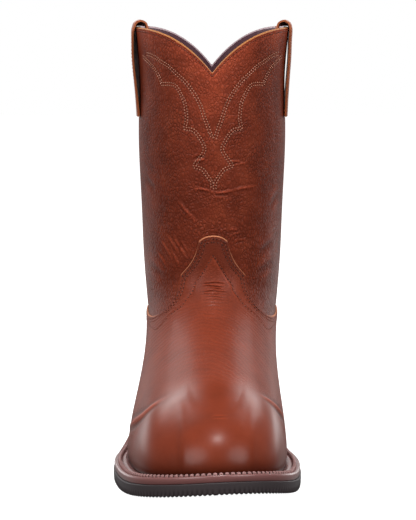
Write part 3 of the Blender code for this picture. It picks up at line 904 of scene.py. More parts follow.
def leather(name, colours, roughness, rubbed, mottle, grain, depth, valley, stretch, drape, coat, specular):
    """Dyed leather: a cloudy colour, patches of grain pressed into it, and painted light and shade on
    creases.

    colours are the dark, the plain and the light one of the dye. mottle and grain are sizes in millimetres,
    depth is the grain's in millimetres, valley is how much colour the grain's valleys lose, stretch is how
    much taller than wide the grain is, and drape is the height of the soft waves under it, as a share of its
    depth. Where a piece's polish is 1 it has lost its grain and is rubbed to a lower roughness, and where its
    ripple is more than 0 fine creases cross it in arcs.
    """
    made, tree, shader, place = new_finish(name, colours[1])
    grain_scale = 1.0 / (grain * MM)
    mottle_scale = 1.0 / (mottle * MM)

    # Pebbles with finer grain on them and soft waves under them.
    wander = noise(tree, place, WANDER_SCALE * grain_scale, detail=2.0)["Color"]
    moved_inputs = {0: wander, 1: [grain * MM] * 3, 2: place}
    moved = put(tree, "ShaderNodeVectorMath", moved_inputs, operation="MULTIPLY_ADD").outputs[0]
    tall = put(tree, "ShaderNodeMapping", {"Vector": moved, "Scale": [1.0, 1.0, 1.0 / stretch]}).outputs[0]
    cell_inputs = {"Vector": tall, "Scale": grain_scale}
    cells = put(tree, "ShaderNodeTexVoronoi", cell_inputs, feature="DISTANCE_TO_EDGE").outputs["Distance"]
    pebble = remap(tree, cells, 0.0, PEBBLE_SLOPE, 0.0, 1.0)
    fine = noise(tree, place, FINE_SCALE * grain_scale, detail=3.0, roughness=0.65)["Fac"]
    waves = noise(tree, tall, DRAPE_SCALE * grain_scale, detail=2.0)["Fac"]
    height = maths(tree, "MULTIPLY_ADD", fine, FINE_HEIGHT, pebble)
    height = maths(tree, "MULTIPLY_ADD", waves, drape, height)

    # The grain is stronger in patches, and is lost to polish.
    polish = amount_of(tree, "polish")
    patch = noise(tree, place, PATCH_SCALE * mottle_scale, detail=1.0)["Fac"]
    patchy = remap(tree, patch, *PATCH_RANGE, PATCH_LEAST, 1.0, way="LINEAR")
    left = maths(tree, "MULTIPLY", maths(tree, "SUBTRACT", 1.0, polish), patchy)

    # Cloudy dye, weaker in the valleys between the pebbles.
    cloud = noise(tree, place, mottle_scale, detail=4.0, roughness=0.6)["Fac"]
    dye = put(tree, "ShaderNodeValToRGB", {"Fac": cloud})
    stops = dye.color_ramp.elements
    stops.new(DYE_STOPS[1])
    for stop, position, colour in zip(stops, DYE_STOPS, colours):
        stop.position = position
        stop.color = to_linear(colour)
    hollow = maths(tree, "SUBTRACT", pebble, 1.0)
    dyed = maths(tree, "MULTIPLY_ADD", hollow, maths(tree, "MULTIPLY", left, valley), 1.0)
    grained = scaled(tree, dye.outputs["Color"], dyed)

    # Fine creases in arcs, with painted highlights on their crests.
    ripple = amount_of(tree, "ripple")
    sides = put(tree, "ShaderNodeSeparateXYZ", {"Vector": place}).outputs
    square = maths(tree, "MULTIPLY", sides["X"], sides["X"])
    arc = maths(tree, "MULTIPLY_ADD", square, RIPPLE_ARC / MM, sides["Z"])
    arched = put(tree, "ShaderNodeCombineXYZ", {"X": sides["X"], "Y": sides["Y"], "Z": arc}).outputs[0]
    wave_inputs = {
        "Vector": arched,
        "Scale": WAVE_TURN / (RIPPLE_PITCH * MM),
        "Distortion": RIPPLE_DISTORTION,
        "Detail": RIPPLE_DETAIL,
        "Detail Scale": RIPPLE_DETAIL_SCALE,
    }
    bands = put(tree, "ShaderNodeTexWave", wave_inputs, wave_type="BANDS", bands_direction="Z").outputs["Fac"]
    height = maths(tree, "MULTIPLY_ADD", bands, ripple, height)
    ripple_painted_light = maths(tree, "MULTIPLY", ripple, RIPPLE_PAINTED_LIGHT)
    shade = maths(tree, "MULTIPLY_ADD", bands, ripple_painted_light, amount_of(tree, "shade"))
    painted_shading = scaled(tree, grained, maths(tree, "ADD", shade, 1.0))

    bump = put(tree, "ShaderNodeBump", {"Height": height, "Distance": depth * MM, "Strength": left})
    feed(tree, shader, {
        "Base Color": painted_shading,
        "Roughness": remap(tree, polish, 0.0, 1.0, roughness, rubbed, way="LINEAR"),
        "Normal": bump.outputs[0],
        "IOR": LEATHER_IOR,
        "Coat Weight": coat,
        "Coat Roughness": COAT_ROUGHNESS,
        "Specular IOR Level": specular,
    })
    return made


def plain_finish(name, colour, roughness, speck, depth):
    """One colour with a fine uneven surface; speck is its size and depth its height in millimetres."""
    made, tree, shader, place = new_finish(name, colour)
    grit = noise(tree, place, 1.0 / (speck * MM), detail=3.0)["Fac"]
    bump = put(tree, "ShaderNodeBump", {"Height": grit, "Distance": depth * MM, "Strength": 1.0})
    feed(tree, shader, {"Base Color": to_linear(colour), "Roughness": roughness, "Normal": bump.outputs[0]})
    return made


# Tumbled shaft leather: drum-tumbled hide, pebbled about 1.8 mm, satin, darker in the pebbles' valleys.
SHAFT_FINISH = leather("tumbled grain shaft leather", ("702f1e", "7d3522", "8b3e28"), roughness=0.4,
                       rubbed=0.4, mottle=13.0, grain=1.8, depth=0.26, valley=0.36, stretch=1.5, drape=2.0,
                       coat=0.0, specular=0.12)
# Polished vamp leather: smooth hide waxed and brushed over the last, so it mirrors the studio softly.
VAMP_FINISH = leather("polished vamp leather", ("762e18", "7e321b", "86371f"), roughness=0.58, rubbed=0.35,
                      mottle=22.0, grain=2.4, depth=0.13, valley=0.14, stretch=0.4, drape=0.8, coat=0.08,
                      specular=0.22)
# Strap leather: smooth orange-brown hide, left less polished.
STRAP_FINISH = leather("smooth strap leather", ("9c4a26", "a8522b", "b25a31"), roughness=0.45, rubbed=0.45,
                       mottle=12.0, grain=1.2, depth=0.03, valley=0.08, stretch=1.0, drape=0.5, coat=0.0,
                       specular=0.4)
# Bare cut leather edge: undyed fibres that show tan wherever a piece was trimmed.
RIM_FINISH = plain_finish("bare tan collar edge", "b0703a", 0.75, 0.6, 0.05)
VAMP_EDGE_FINISH = plain_finish("bare brown cut edge", "b8714c", 0.75, 0.6, 0.05)
STRAP_EDGE_FINISH = plain_finish("burnished strap edge", "a2552b", 0.6, 0.6, 0.04)
# Smooth lining leather: thin plum-coloured skin, dark inside the boot.
LINING_FINISH = plain_finish("plum lining leather", "4a2430", 0.6, 1.5, 0.03)
# Folded lining edge: the lining's upper edge, a greyish mauve painted pale as a painted highlight.
LINING_EDGE_PAINTED_HIGHLIGHT = plain_finish("lining edge with painted highlight", "ae949a", 0.6, 0.8, 0.03)
# Insole leather: vegetable-tanned board, matte.
INSOLE_FINISH = plain_finish("insole leather", "6b4a38", 0.7, 1.2, 0.04)
# Welt leather: stout strip dyed mauve-brown and waxed.
WELT_FINISH = plain_finish("mauve-brown welt leather", "835653", 0.27, 0.9, 0.05)
# Moulded rubber: charcoal, with the dull skin of the mould.
RUBBER_FINISH = plain_finish("moulded charcoal rubber", "3c3335", 0.6, 0.7, 0.05)
# Threads: waxed polyester, tan on the shaft and straps, brown on the vamp and under the collar, mauve on the
# welt.
TAN_THREAD = plain_finish("tan waxed thread", "b4775f", 0.5, 0.3, 0.02)
BROWN_THREAD = plain_finish("brown waxed thread", "7c3a26", 0.5, 0.3, 0.02)
WELT_THREAD = plain_finish("mauve welt thread", "9d7370", 0.55, 0.5, 0.03)
# Needle holes: shadowed leather at the bottom of each hole, less dark in the vamp.
HOLE_FINISH = plain_finish("shadowed needle hole", "2b0f09", 0.8, 0.3, 0.02)
VAMP_HOLE_FINISH = plain_finish("shadowed hole in vamp leather", "3c160d", 0.8, 0.3, 0.02)


def add_object(name, data):
    """Put a mesh, a light or a camera into the scene."""
    made = bpy.data.objects.new(name, data)
    bpy.context.scene.collection.objects.link(made)
    return made


def add_piece(name, points, faces, finishes, marks, nodes, amounts):
    """Make one named piece of the boot from points in millimetres; marks gives each face its finish.

    amounts gives the finish, for each point, its shade (lighter or darker), its polish (how much grain is
    lost) and its ripple (how deep the fine creases are).
    """
    mesh = bpy.data.meshes.new(name)
    mesh.from_pydata(((np.asarray(points) - SOLE_MIDDLE) * MM).tolist(), [], faces)
    for finish in finishes:
        mesh.materials.append(finish)
    mesh.polygons.foreach_set("material_index", np.asarray(marks, np.int32))
    for label, values in amounts.items():
        stored = mesh.attributes.new(label, "FLOAT", "POINT")
        stored.data.foreach_set("value", np.asarray(values, np.float32))
    mesh.shade_smooth()
    mesh.set_sharp_from_angle(angle=np.radians(SHARP_ANGLE))
    made = add_object(name, mesh)
    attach(made, BODY)
    if nodes:
        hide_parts(*nodes)
    return made


def grid_faces(rows, columns, closed, first, flip):
    """Four-sided faces of a grid of points, wound to face out or, flipped, in."""
    place = first + np.arange(rows * columns).reshape(rows, columns)
    if closed:
        place = np.concatenate([place, place[:, :1]], axis=1)
    corners = [place[:-1, :-1], place[:-1, 1:], place[1:, 1:], place[1:, :-1]]
    corners = np.stack(corners, axis=-1).reshape(-1, 4)
    return (corners[:, ::-1] if flip else corners).tolist()


def ladder(first, second, flip):
    """Triangles between two chains of points that run side by side and may differ in number."""
    faces = []
    one = 0
    two = 0
    while one < len(first) - 1 or two < len(second) - 1:
        lead = (one + 1) / max(len(first) - 1, 1) <= (two + 1) / max(len(second) - 1, 1)
        if two == len(second) - 1 or (lead and one < len(first) - 1):
            faces.append((first[one], first[one + 1], second[two]))
            one += 1
        else:
            faces.append((first[one], second[two + 1], second[two]))
            two += 1
    return [face[::-1] for face in faces] if flip else faces


def sheet(name, outer, inner, closed, finishes, nodes, amounts):
    """Solid leather between an outer and an inner grid with the same columns.

    The finishes are those of the outer face, of the cut upper edge and of the inner face.
    """
    rows, columns = outer.shape[:2]
    inner_rows = inner.shape[0]
    start = rows * columns
    points = np.concatenate([outer.reshape(-1, 3), inner.reshape(-1, 3)])
    out_place = np.arange(start).reshape(rows, columns)
    in_place = start + np.arange(inner_rows * columns).reshape(inner_rows, columns)
    if closed:
        out_place = np.concatenate([out_place, out_place[:, :1]], axis=1)
        in_place = np.concatenate([in_place, in_place[:, :1]], axis=1)
    groups = [
        (grid_faces(rows, columns, closed, 0, False), 0),
        (grid_faces(inner_rows, columns, closed, start, True), 2),
        (ladder(out_place[-1].tolist(), in_place[-1].tolist(), False), 1),
        (ladder(out_place[0].tolist(), in_place[0].tolist(), True), 2),
    ]
    if not closed:
        groups.append((ladder(out_place[:, 0].tolist(), in_place[:, 0].tolist(), False), 1))
        groups.append((ladder(out_place[:, -1].tolist(), in_place[:, -1].tolist(), True), 1))
    faces = [face for group, _ in groups for face in group]
    marks = np.concatenate([np.full(len(group), mark) for group, mark in groups])
    behind = np.zeros(len(points) - start)
    amounts = {label: np.concatenate([values.reshape(-1), behind]) for label, values in amounts.items()}
    return add_piece(name, points, faces, finishes, marks, nodes, amounts)


def capped_stack(name, rings, finish, nodes):
    """Solid through closed rings from top to bottom; rings run from the toe round both sides to the heel."""
    count = len(rings[0])
    points = np.concatenate(rings)
    faces = grid_faces(len(rings), count, True, 0, True)
    bottom = (len(rings) - 1) * count
    half = count // 2
    for place in range(half):
        far = (count - place) % count
        strip = (place, place + 1, count - place - 1, far)
        if place == 0:
            strip = (0, 1, count - 1)
        if place == half - 1:
            strip = (place, half, far)
        faces.append(strip)
        faces.append(tuple(bottom + corner for corner in reversed(strip)))
    return add_piece(name, points, faces, [finish], np.zeros(len(faces)), nodes, {})


def sew(name, rows, stitch, finish):
    """One piece of stitches along rows, each given by its points and the directions out of the leather."""
    pitch, length, radius, start = stitch
    turn = np.arange(STITCH_SIDES) * 2.0 * np.pi / STITCH_SIDES
    rings = len(STITCH_ALONG)
    thick = STITCH_THICK[:, None] * radius
    run = np.broadcast_to(STITCH_ALONG[:, None] * length / 2.0, (rings, STITCH_SIDES))
    lift = STITCH_LIFT[:, None] * radius + thick * np.sin(turn)
    wide = thick * np.cos(turn)
    points = []
    for line, normals in rows:
        places = run_along(line)
        count = max(int(places[-1] / pitch), 1)
        middle = (np.arange(count) + start) * places[-1] / count
        ahead = between(middle + length / 2.0, places, line)
        along = unit(ahead - between(middle - length / 2.0, places, line))
        out = between(middle, places, normals)
        out = unit(out - (out * along).sum(axis=1, keepdims=True) * along)
        threads = between(middle, places, line)[:, None, None, :]
        for amount, way in ((run, along), (lift, out), (wide, np.cross(along, out))):
            threads = threads + amount[None, ..., None] * way[:, None, None, :]
        points.append(threads.reshape(-1, 3))
    points = np.concatenate(points)
    size = rings * STITCH_SIDES
    faces = []
    for first in range(0, len(points), size):
        faces += grid_faces(rings, STITCH_SIDES, True, first, True)
        faces.append(tuple(first + np.arange(STITCH_SIDES)))
        faces.append(tuple(first + size - 1 - np.arange(STITCH_SIDES)))
    return add_piece(name, points, faces, [finish], np.zeros(len(faces)), (), {})


def sewn_rows(rows, relief_of):
    """Points of stitch rows on the leather, whose height relief_of gives, and the directions out of it."""
    sewn = []
    for angle, climb in rows:
        lift = relief_of(outside(angle, climb)) - STITCH_SINK
        sewn.append((layer(angle, climb, lift), outward(angle, climb)))
    return sewn


def fold_line(start_across, start_height, end_across, end_height, bow, behind):
    """Points of a fold on the shaft, straight or bowed to one side."""
    share = np.linspace(0.0, 1.0, FOLD_SAMPLES)
    along = np.asarray([end_across - start_across, end_height - start_height])
    beside_it = np.asarray([-along[1], along[0]]) / np.hypot(*along)
    push = bow * 4.0 * share * (1.0 - share)
    across = start_across + share * along[0] + push * beside_it[0]
    height = start_height + share * along[1] + push * beside_it[1]
    return outside(*shaft_place(across, height, behind))


def pattern_rows(behind):
    """Angles and climbs of the shaft's stitch rows, on both halves."""
    rows = []
    for pieces in (PATTERN_UPPER, PATTERN_LOWER):
        line = smooth_line(pieces, LINE_STEP)
        for side in (1.0, -1.0):
            angle, climb = shaft_place(side * line[:, 0], line[:, 1], behind)
            rows.append((angle, climb))
            rows.append(beside(angle, climb, side * PATTERN_TWIN))
    return rows


def make_shaft_panel(name, angles, row_count, fold_table, behind):
    """Front or back of the shaft, with its folds, its stitch pattern and a bare cut rim."""
    collar_to_throat = collar_z(angles) - throat_z(angles)
    bottom = climb_at(angles, edge_height(angles) - SHAFT_UNDERLAP)
    climbs = bottom + even_shares(row_count) * (2.0 - RIM_BEVEL / collar_to_throat - bottom)
    folds = []
    for across, height, end_across, end_height, width, depth, bow in fold_table:
        folds.append((fold_line(across, height, end_across, end_height, bow, behind), width, depth))
    rows = pattern_rows(behind)
    side = np.linspace(angles[0] + COLLAR_ROW_INSET, angles[-1] - COLLAR_ROW_INSET, COLLAR_ROW_SAMPLES)
    rows.append((side, 2.0 - COLLAR_ROW / (collar_z(side) - throat_z(side))))
    lines = [outside(angle, climb) for angle, climb in rows]
    base = outside(angles[None, :], climbs)
    folded = fold_relief(base, folds)
    outer = layer(angles[None, :], climbs, folded + groove_relief(base, lines, *SHAFT_GROOVE))
    inner = layer(angles[None, :], bottom + even_shares(INNER_ROWS) * (2.0 - bottom), -SHAFT_LEATHER)
    middle = FRONT_MIDDLE if not behind else BACK_MIDDLE
    off_middle = (angles[None, :] - middle) / UPPER_LIGHTER_ANGLE
    upper_spread = off_middle ** 2 + ((base[..., 2] - UPPER_LIGHTER_HEIGHT) / UPPER_LIGHTER_REACH) ** 2
    # Lighter upper middle, and painted light from above just under the collar.
    under_rim = (2.0 - climbs) * collar_to_throat
    shade = UPPER_LIGHTER_AMOUNT * np.exp(-upper_spread) + COLLAR_PAINTED_LIGHT * np.exp(-under_rim / COLLAR_PAINTED_LIGHT_REACH)
    # Painted highlights on the crests of the folds and painted shade in their troughs.
    shade = shade + painted_fold_shading(folded, FOLD_CREST_PAINTED_LIGHT, FOLD_TROUGH_PAINTED_SHADE, SHADE_HEIGHT)
    finishes = (SHAFT_FINISH, RIM_FINISH, SHAFT_FINISH)
    sheet(name, outer, inner, False, finishes, ("upper",), {"shade": shade})
    sewn = sewn_rows(rows, lambda places: fold_relief(places, folds))
    sew(name + "_stitches", sewn[:-1], SHAFT_STITCH, TAN_THREAD)
    sew(name + "_rim_stitches", sewn[-1:], SHAFT_STITCH, BROWN_THREAD)
    sew(name + "_needle_holes", sewn, SHAFT_HOLE, HOLE_FINISH)


def make_lining():
    """Lining of shaft and foot; below the shaft's panels it fills the wall. Its rim has a painted highlight.
    """
    angles = np.linspace(0.0, 360.0, LINING_COLUMNS, endpoint=False)
    span = collar_z(angles) - throat_z(angles)
    top = 2.0 - LINING_BELOW_RIM / span
    share = even_shares(LINING_ROWS)
    climbs = share * top
    step_height = edge_height(angles) - SHAFT_UNDERLAP - LINING_STEP_BELOW
    below = step_height - outside(angles[None, :], climbs)[..., 2]
    offset = -SHAFT_LEATHER - LINING_CLEAR + SHAFT_LEATHER * smooth_step(below / LINING_STEP_LENGTH)
    outer = layer(angles[None, :], climbs, offset)
    inner = layer(angles[None, :], share * (top - LINING_BEVEL / span), -WALL)
    # The lining's upper edge takes a finish with a painted highlight.
    finishes = (LINING_FINISH, LINING_EDGE_PAINTED_HIGHLIGHT, LINING_FINISH)
    sheet("lining", outer, inner, True, finishes, ("upper",), {})


def make_overlay(name, angles, row_shares, extra_rows, relief_of, amounts_of):
    """Leather laid over the upper from the welt to its cut upper edge, with its stitch rows."""
    heights = edge_height(angles)
    edge_climbs = climb_at(angles, heights)
    edge_points = outside(angles, edge_climbs)
    across = np.hypot(np.gradient(edge_points[:, 0]), np.gradient(edge_points[:, 1]))
    level = across / np.hypot(across, np.gradient(edge_points[:, 2]))
    bevel = np.pad(EDGE_BEVEL / np.maximum(level, EDGE_STEEPEST), EDGE_EVENED // 2, mode="edge")
    bevel = np.convolve(bevel, np.full(EDGE_EVENED, 1.0 / EDGE_EVENED), mode="valid")
    climbs = row_shares[:, None] * climb_at(angles, heights - bevel)[None, :]
    base = outside(angles[None, :], climbs)
    fine = np.linspace(angles[0] + EDGE_ROW_INSET, angles[-1] - EDGE_ROW_INSET, EDGE_ROW_SAMPLES)
    fine_climbs = climb_at(fine, edge_height(fine))
    rows = [beside(fine, fine_climbs, -distance) for distance in EDGE_ROWS] + extra_rows
    lines = [outside(angle, climb) for angle, climb in rows]
    folded = relief_of(base)
    drop = edge_points[None, :, 2] - base[..., 2]
    roll = -EDGE_ROLL * bell((drop - bevel[None, :]) / EDGE_ROLL_REACH)
    over_welt = base[..., 2] - feather_z(base[..., 0], base[..., 1])
    tuck = -WELT_TUCK * np.exp(-over_welt / WELT_TUCK_REACH)
    relief = folded + roll + tuck + groove_relief(base, lines, *OVERLAY_GROOVE)
    outer = layer(angles[None, :], climbs, GAP + OVERLAY + relief)
    inner = layer(angles[None, :], even_shares(INNER_ROWS) * edge_climbs[None, :], GAP)
    amounts = amounts_of(angles[None, :], base, folded)
    # Painted shade in the crevice just over the welt.
    amounts["shade"] = amounts["shade"] - WELT_CREVICE_PAINTED_SHADE * np.exp(-over_welt / WELT_CREVICE_PAINTED_SHADE_REACH)
    finishes = (VAMP_FINISH, VAMP_EDGE_FINISH, VAMP_FINISH)
    sheet(name, outer, inner, False, finishes, (name,), amounts)
    sewn = sewn_rows(rows, lambda places: GAP + OVERLAY + relief_of(places))
    sew(name + "_stitches", sewn, VAMP_STITCH, BROWN_THREAD)
    pricked = []
    for line, away in sewn:
        high = line[:, 2] > HOLES_ABOVE
        if np.count_nonzero(high) > 2:
            pricked.append((line[high], away[high]))
    if pricked:
        sew(name + "_needle_holes", pricked, VAMP_HOLE, VAMP_HOLE_FINISH)


def make_vamp():
    """Foot leather with its tongue, creased where it bends over the instep."""
    limit = SEAM_ANGLE - SEAM_SPLIT
    fine = np.linspace(-limit, limit, VAMP_EDGE_SAMPLES)
    length = run_along(outside(fine, climb_at(fine, edge_height(fine))))
    mixed = length / length[-1] + (fine + limit) / (2.0 * limit)
    angles = np.interp(np.linspace(0.0, 2.0, VAMP_COLUMNS), mixed, fine)
    folds = []
    for height, start, end, width, depth in FLEX_CREASES:
        spread = np.linspace(start, end, CREASE_SAMPLES)
        climb = climb_at(np.asarray([FRONT_TURN]), np.asarray([height]))[0]
        wave = CREASE_WAVE * np.sin(spread / CREASE_WAVE_TURN + CREASE_WAVE_SHIFT * height)
        folds.append((outside(turned(spread), climb + wave), width, depth))
    for knots, width, depth in TOE_FOLDS:
        folds.append((smooth_line((knots,), FOLD_STEP), width, depth))
    row = smooth_line((V_ROW,), LINE_STEP)
    both = np.concatenate([row[:0:-1] * (-1.0, 1.0), row])
    v_angles = turned(both[:, 0])
    v_rows = [(v_angles, climb_at(v_angles, both[:, 1]))]
    dense = np.linspace(0.0, 1.0, VAMP_ROW_SAMPLES)
    density = 1.0 + VAMP_MORE_ROWS * bell((dense - VAMP_MORE_MIDDLE) / VAMP_MORE_SPREAD)
    reached = np.concatenate([[0.0], np.cumsum((density[1:] + density[:-1]) / 2.0)])
    row_shares = np.interp(np.linspace(0.0, reached[-1], VAMP_ROWS), reached, dense)

    def amounts_of(around, base, folded):
        height = base[..., 2]
        above_v = height - v_row_height(around)
        tongue = smooth_step((height - TONGUE_LOW) / TONGUE_FADE) * smooth_step(above_v / TONGUE_BORDER)
        # Painted highlight along a thin line inside the V row.
        lip = smooth_step((height - LIP_LOW) / LIP_FADE) * bell((above_v + LIP_INSET) / LIP_WIDTH)
        creased = folded - toe_box_relief(base)
        # Painted highlights on the crests of the creases and painted shade in their troughs.
        painted_shading = painted_fold_shading(creased, CREASE_CREST_PAINTED_LIGHT, CREASE_TROUGH_PAINTED_SHADE, CREASE_SHADE_DEPTH)
        polish = smooth_step((POLISH_START_Y - base[..., 1]) / POLISH_LENGTH)
        ripple = smooth_step((height - RIPPLE_LOW) / RIPPLE_FADE)
        ripple = ripple * smooth_step((RIPPLE_HIGH - height) / RIPPLE_FADE)
        return {"shade": painted_shading - TONGUE_SHADE * tongue + LIP_PAINTED_HIGHLIGHT * lip, "polish": polish, "ripple": ripple}

    def relief_of(base):
        return fold_relief(base, folds) + toe_box_relief(base)

    make_overlay("vamp", angles, row_shares, v_rows, relief_of, amounts_of)


def make_counter():
    """Leather over the heel."""
    limit = SEAM_ANGLE + SEAM_SPLIT
    angles = np.linspace(limit, 360.0 - limit, COUNTER_COLUMNS)
    row_shares = np.linspace(0.0, 1.0, COUNTER_ROWS)
    make_overlay("counter", angles, row_shares, [], lambda base: np.zeros(base.shape[:-1]),
                 lambda around, base, folded: {"shade": folded})


def make_side_seam(name, angle):
    """Raised seam that joins the shaft's front and back, with a stitch row on either side."""
    lowest = edge_height(angle) + SEAM_ABOVE_VAMP
    highest = COLLAR_HEIGHT + STRAP_PATH[0][1] - SEAM_BELOW_STRAP
    heights = np.linspace(lowest, highest, SEAM_ROWS)
    climbs = climb_at(np.full_like(heights, angle), heights)
    per_degree = np.linalg.norm(outside(angle + 1.0, climbs) - outside(angle, climbs), axis=-1)
    turn = (SEAM_HALF_WIDTH / per_degree)[:, None]
    across = np.linspace(-1.0, 1.0, SEAM_COLUMNS)[None, :]
    height = SEAM_HEIGHT * np.sqrt(np.maximum(1.0 - across ** 2, 0.0)) + SEAM_EDGE_HEIGHT
    outer = layer(angle + across * turn, climbs[:, None], height)
    inner = layer(angle + across * turn, climbs[:, None], SEAM_UNDERSIDE)
    sheet(name, outer, inner, False, (SHAFT_FINISH, SHAFT_FINISH, SHAFT_FINISH), (name,), {})
    rows = []
    for side in (-SEAM_ROW, SEAM_ROW):
        line = angle + side * turn[:, 0]
        rows.append((layer(line, climbs, 0.0), outward(line, climbs)))
    sew(name + "_stitches", rows, SEAM_STITCH, TAN_THREAD)


def make_strap(name, angle, flatness, stand_off, yaw):
    """Looped pull strap over the collar, inside and out, with bare cut edges and a stitch row each side.

    It follows the collar's curve less the flatter it is. Its outer leg bulges away from the shaft by
    stand_off, more at the back where yaw is positive.
    """
    knots = np.asarray(STRAP_PATH)
    length = run_along(knots)
    places = np.linspace(0.0, length[-1], STRAP_ROWS)
    path = through(knots, places)
    along = unit(np.gradient(path, axis=0))
    beside_it = np.stack([along[:, 1], -along[:, 0]], axis=1)
    half_depth = (leg_back(COLLAR_HEIGHT) - leg_front(COLLAR_HEIGHT)) / 2.0
    reach_angle = np.degrees(np.arcsin(STRAP_WIDTH / 2.0 / half_depth))
    rearwards = -np.cos(np.radians(angle + STRAP_ANGLE))
    hang = np.clip(path[:, 1] / STRAP_PATH[0][1], 0.0, 1.0)
    outer_leg = places < length[STRAP_TOP]
    bulge = np.where(outer_leg, stand_off * np.sin(np.pi * hang ** STRAP_BULGE_POWER), 0.0)

    def place_on(across, offset):
        turns = angle + across * reach_angle
        rim = leg_point(turns, np.full_like(turns, COLLAR_HEIGHT))
        middle = leg_point(np.asarray(angle), np.asarray(COLLAR_HEIGHT))
        rim[:, 0] += flatness * (middle[0] - rim[:, 0])
        out = outward(turns, np.full_like(turns, 2.0))
        rear = rearwards * across
        line = path + offset * STRAP_THICKNESS * beside_it
        away = line[:, 0, None] + bulge[:, None] * (1.0 + yaw * rear[None, :])
        grid = rim[None] + away[..., None] * out[None]
        pressed = 1.0 - LOOP_PRESS * smooth_step((rear - LOOP_PRESS_START) / LOOP_PRESS_LENGTH)
        up = line[:, 1, None]
        grid[..., 2] = COLLAR_HEIGHT + np.where(up > 0.0, up * pressed, up)
        return grid

    across = np.linspace(-1.0, 1.0, STRAP_COLUMNS)
    finishes = (STRAP_FINISH, STRAP_EDGE_FINISH, STRAP_FINISH)
    sheet(name, place_on(across, 0.5), place_on(across, -0.5), False, finishes, (name,), {})
    rows = []
    sewn_part = places < length[STRAP_SEWN]
    for share in (-STRAP_ROW, STRAP_ROW):
        line = place_on(np.asarray([share]), 0.5)[sewn_part, 0]
        under = place_on(np.asarray([share]), -0.5)[sewn_part, 0]
        rows.append((line, line - under))
    sew(name + "_stitches", rows, STRAP_STITCH, TAN_THREAD)


def round_angles(count):
    """Angles round the boot, an even number, evenly spaced along the welt's edge."""
    fine = np.linspace(0.0, 180.0, EDGE_SAMPLES)
    length = run_along(np.stack(plan_point(fine, reach(fine)), axis=1))
    half = np.interp(np.linspace(0.0, length[-1], count // 2 + 1), length, fine)
    return np.concatenate([half, 360.0 - half[-2:0:-1]])


def plan_ring(angles, outwards, height, up=0.0):
    """Closed ring beside the feather line, over a height given for each place."""
    x, y = plan_point(angles, outwards)
    return np.stack([x, y, height(x, y) + up], axis=-1)


def make_insole():
    """Footbed with a rounded upper edge, which fills the welt's inside."""
    angles = round_angles(INSOLE_COLUMNS)
    inside_welt = -WELT_UNDERLAP - 2.0 * GAP
    rings = [
        plan_ring(angles, -INSOLE_INSET - INSOLE_ROUND, feather_z, INSOLE_RISE),
        plan_ring(angles, -INSOLE_INSET - INSOLE_CORNER, feather_z, INSOLE_RISE - INSOLE_CORNER),
        plan_ring(angles, -INSOLE_INSET, feather_z, INSOLE_RISE - INSOLE_ROUND),
        plan_ring(angles, -INSOLE_INSET, feather_z),
        plan_ring(angles, inside_welt, feather_z),
        plan_ring(angles, inside_welt, outsole_top_z, GAP),
    ]
    capped_stack("insole", rings, INSOLE_FINISH, ("insole",))


def make_welt():
    """Stitched strip round the boot: a bead at the upper, a channel for the stitches and an outer lip."""
    angles = round_angles(WELT_COLUMNS)
    edge = reach(angles)
    rings = []
    for share, past, up in WELT_SECTION:
        rings.append(plan_ring(angles, share * edge + past, outsole_top_z, GAP + up))
    points = np.concatenate(rings)
    count = len(angles)
    faces = grid_faces(len(rings), count, True, 0, True)
    first = np.append(np.arange(count), 0)
    last = first + (len(rings) - 1) * count
    faces += ladder(last.tolist(), first.tolist(), True)
    add_piece("welt", points, faces, [WELT_FINISH], np.zeros(len(faces)), ("welt",), {})
    around = np.linspace(-WELT_SEWN_ANGLE, WELT_SEWN_ANGLE, WELT_ROW_SAMPLES)
    line = plan_ring(around, WELT_ROW * reach(around), outsole_top_z, GAP + WELT_THICKNESS + WELT_ROW_HEIGHT)
    normals = np.tile([0.0, 0.0, 1.0], (len(line), 1))
    sew("welt_stitches", [(line, normals)], WELT_STITCH, WELT_THREAD)
    sew("welt_needle_holes", [(line, normals)], WELT_HOLE, HOLE_FINISH)


def make_outsole():
    """Rubber sole with rounded bumps along the lower edge of the forefoot."""
    angles = round_angles(OUTSOLE_COLUMNS)
    edge = reach(angles) + OUTSOLE_EXTRA
    length = run_along(plan_ring(angles, edge, tread_z))
    wave = np.abs(np.cos(np.pi * length / BUMP_PITCH))
    front = smooth_step((BUMP_LAST_ANGLE - np.abs(signed_angle(angles))) / BUMP_FADE)
    notch = front * (1.0 - wave)
    rings = []
    for past, up, inset, lift in OUTSOLE_SECTION:
        ring = plan_ring(angles, edge + past - inset * notch, tread_z)
        sprung = smooth_step((TREAD_FRONT_Y - ring[:, 1]) / TREAD_RECESS_LENGTH)
        ring[:, 2] += BUMP_DEPTH * lift * notch + up * (sprung if up == TREAD_RECESS else 1.0)
        rings.append(ring)
    capped_stack("outsole", rings, RUBBER_FINISH, ("outsole",))


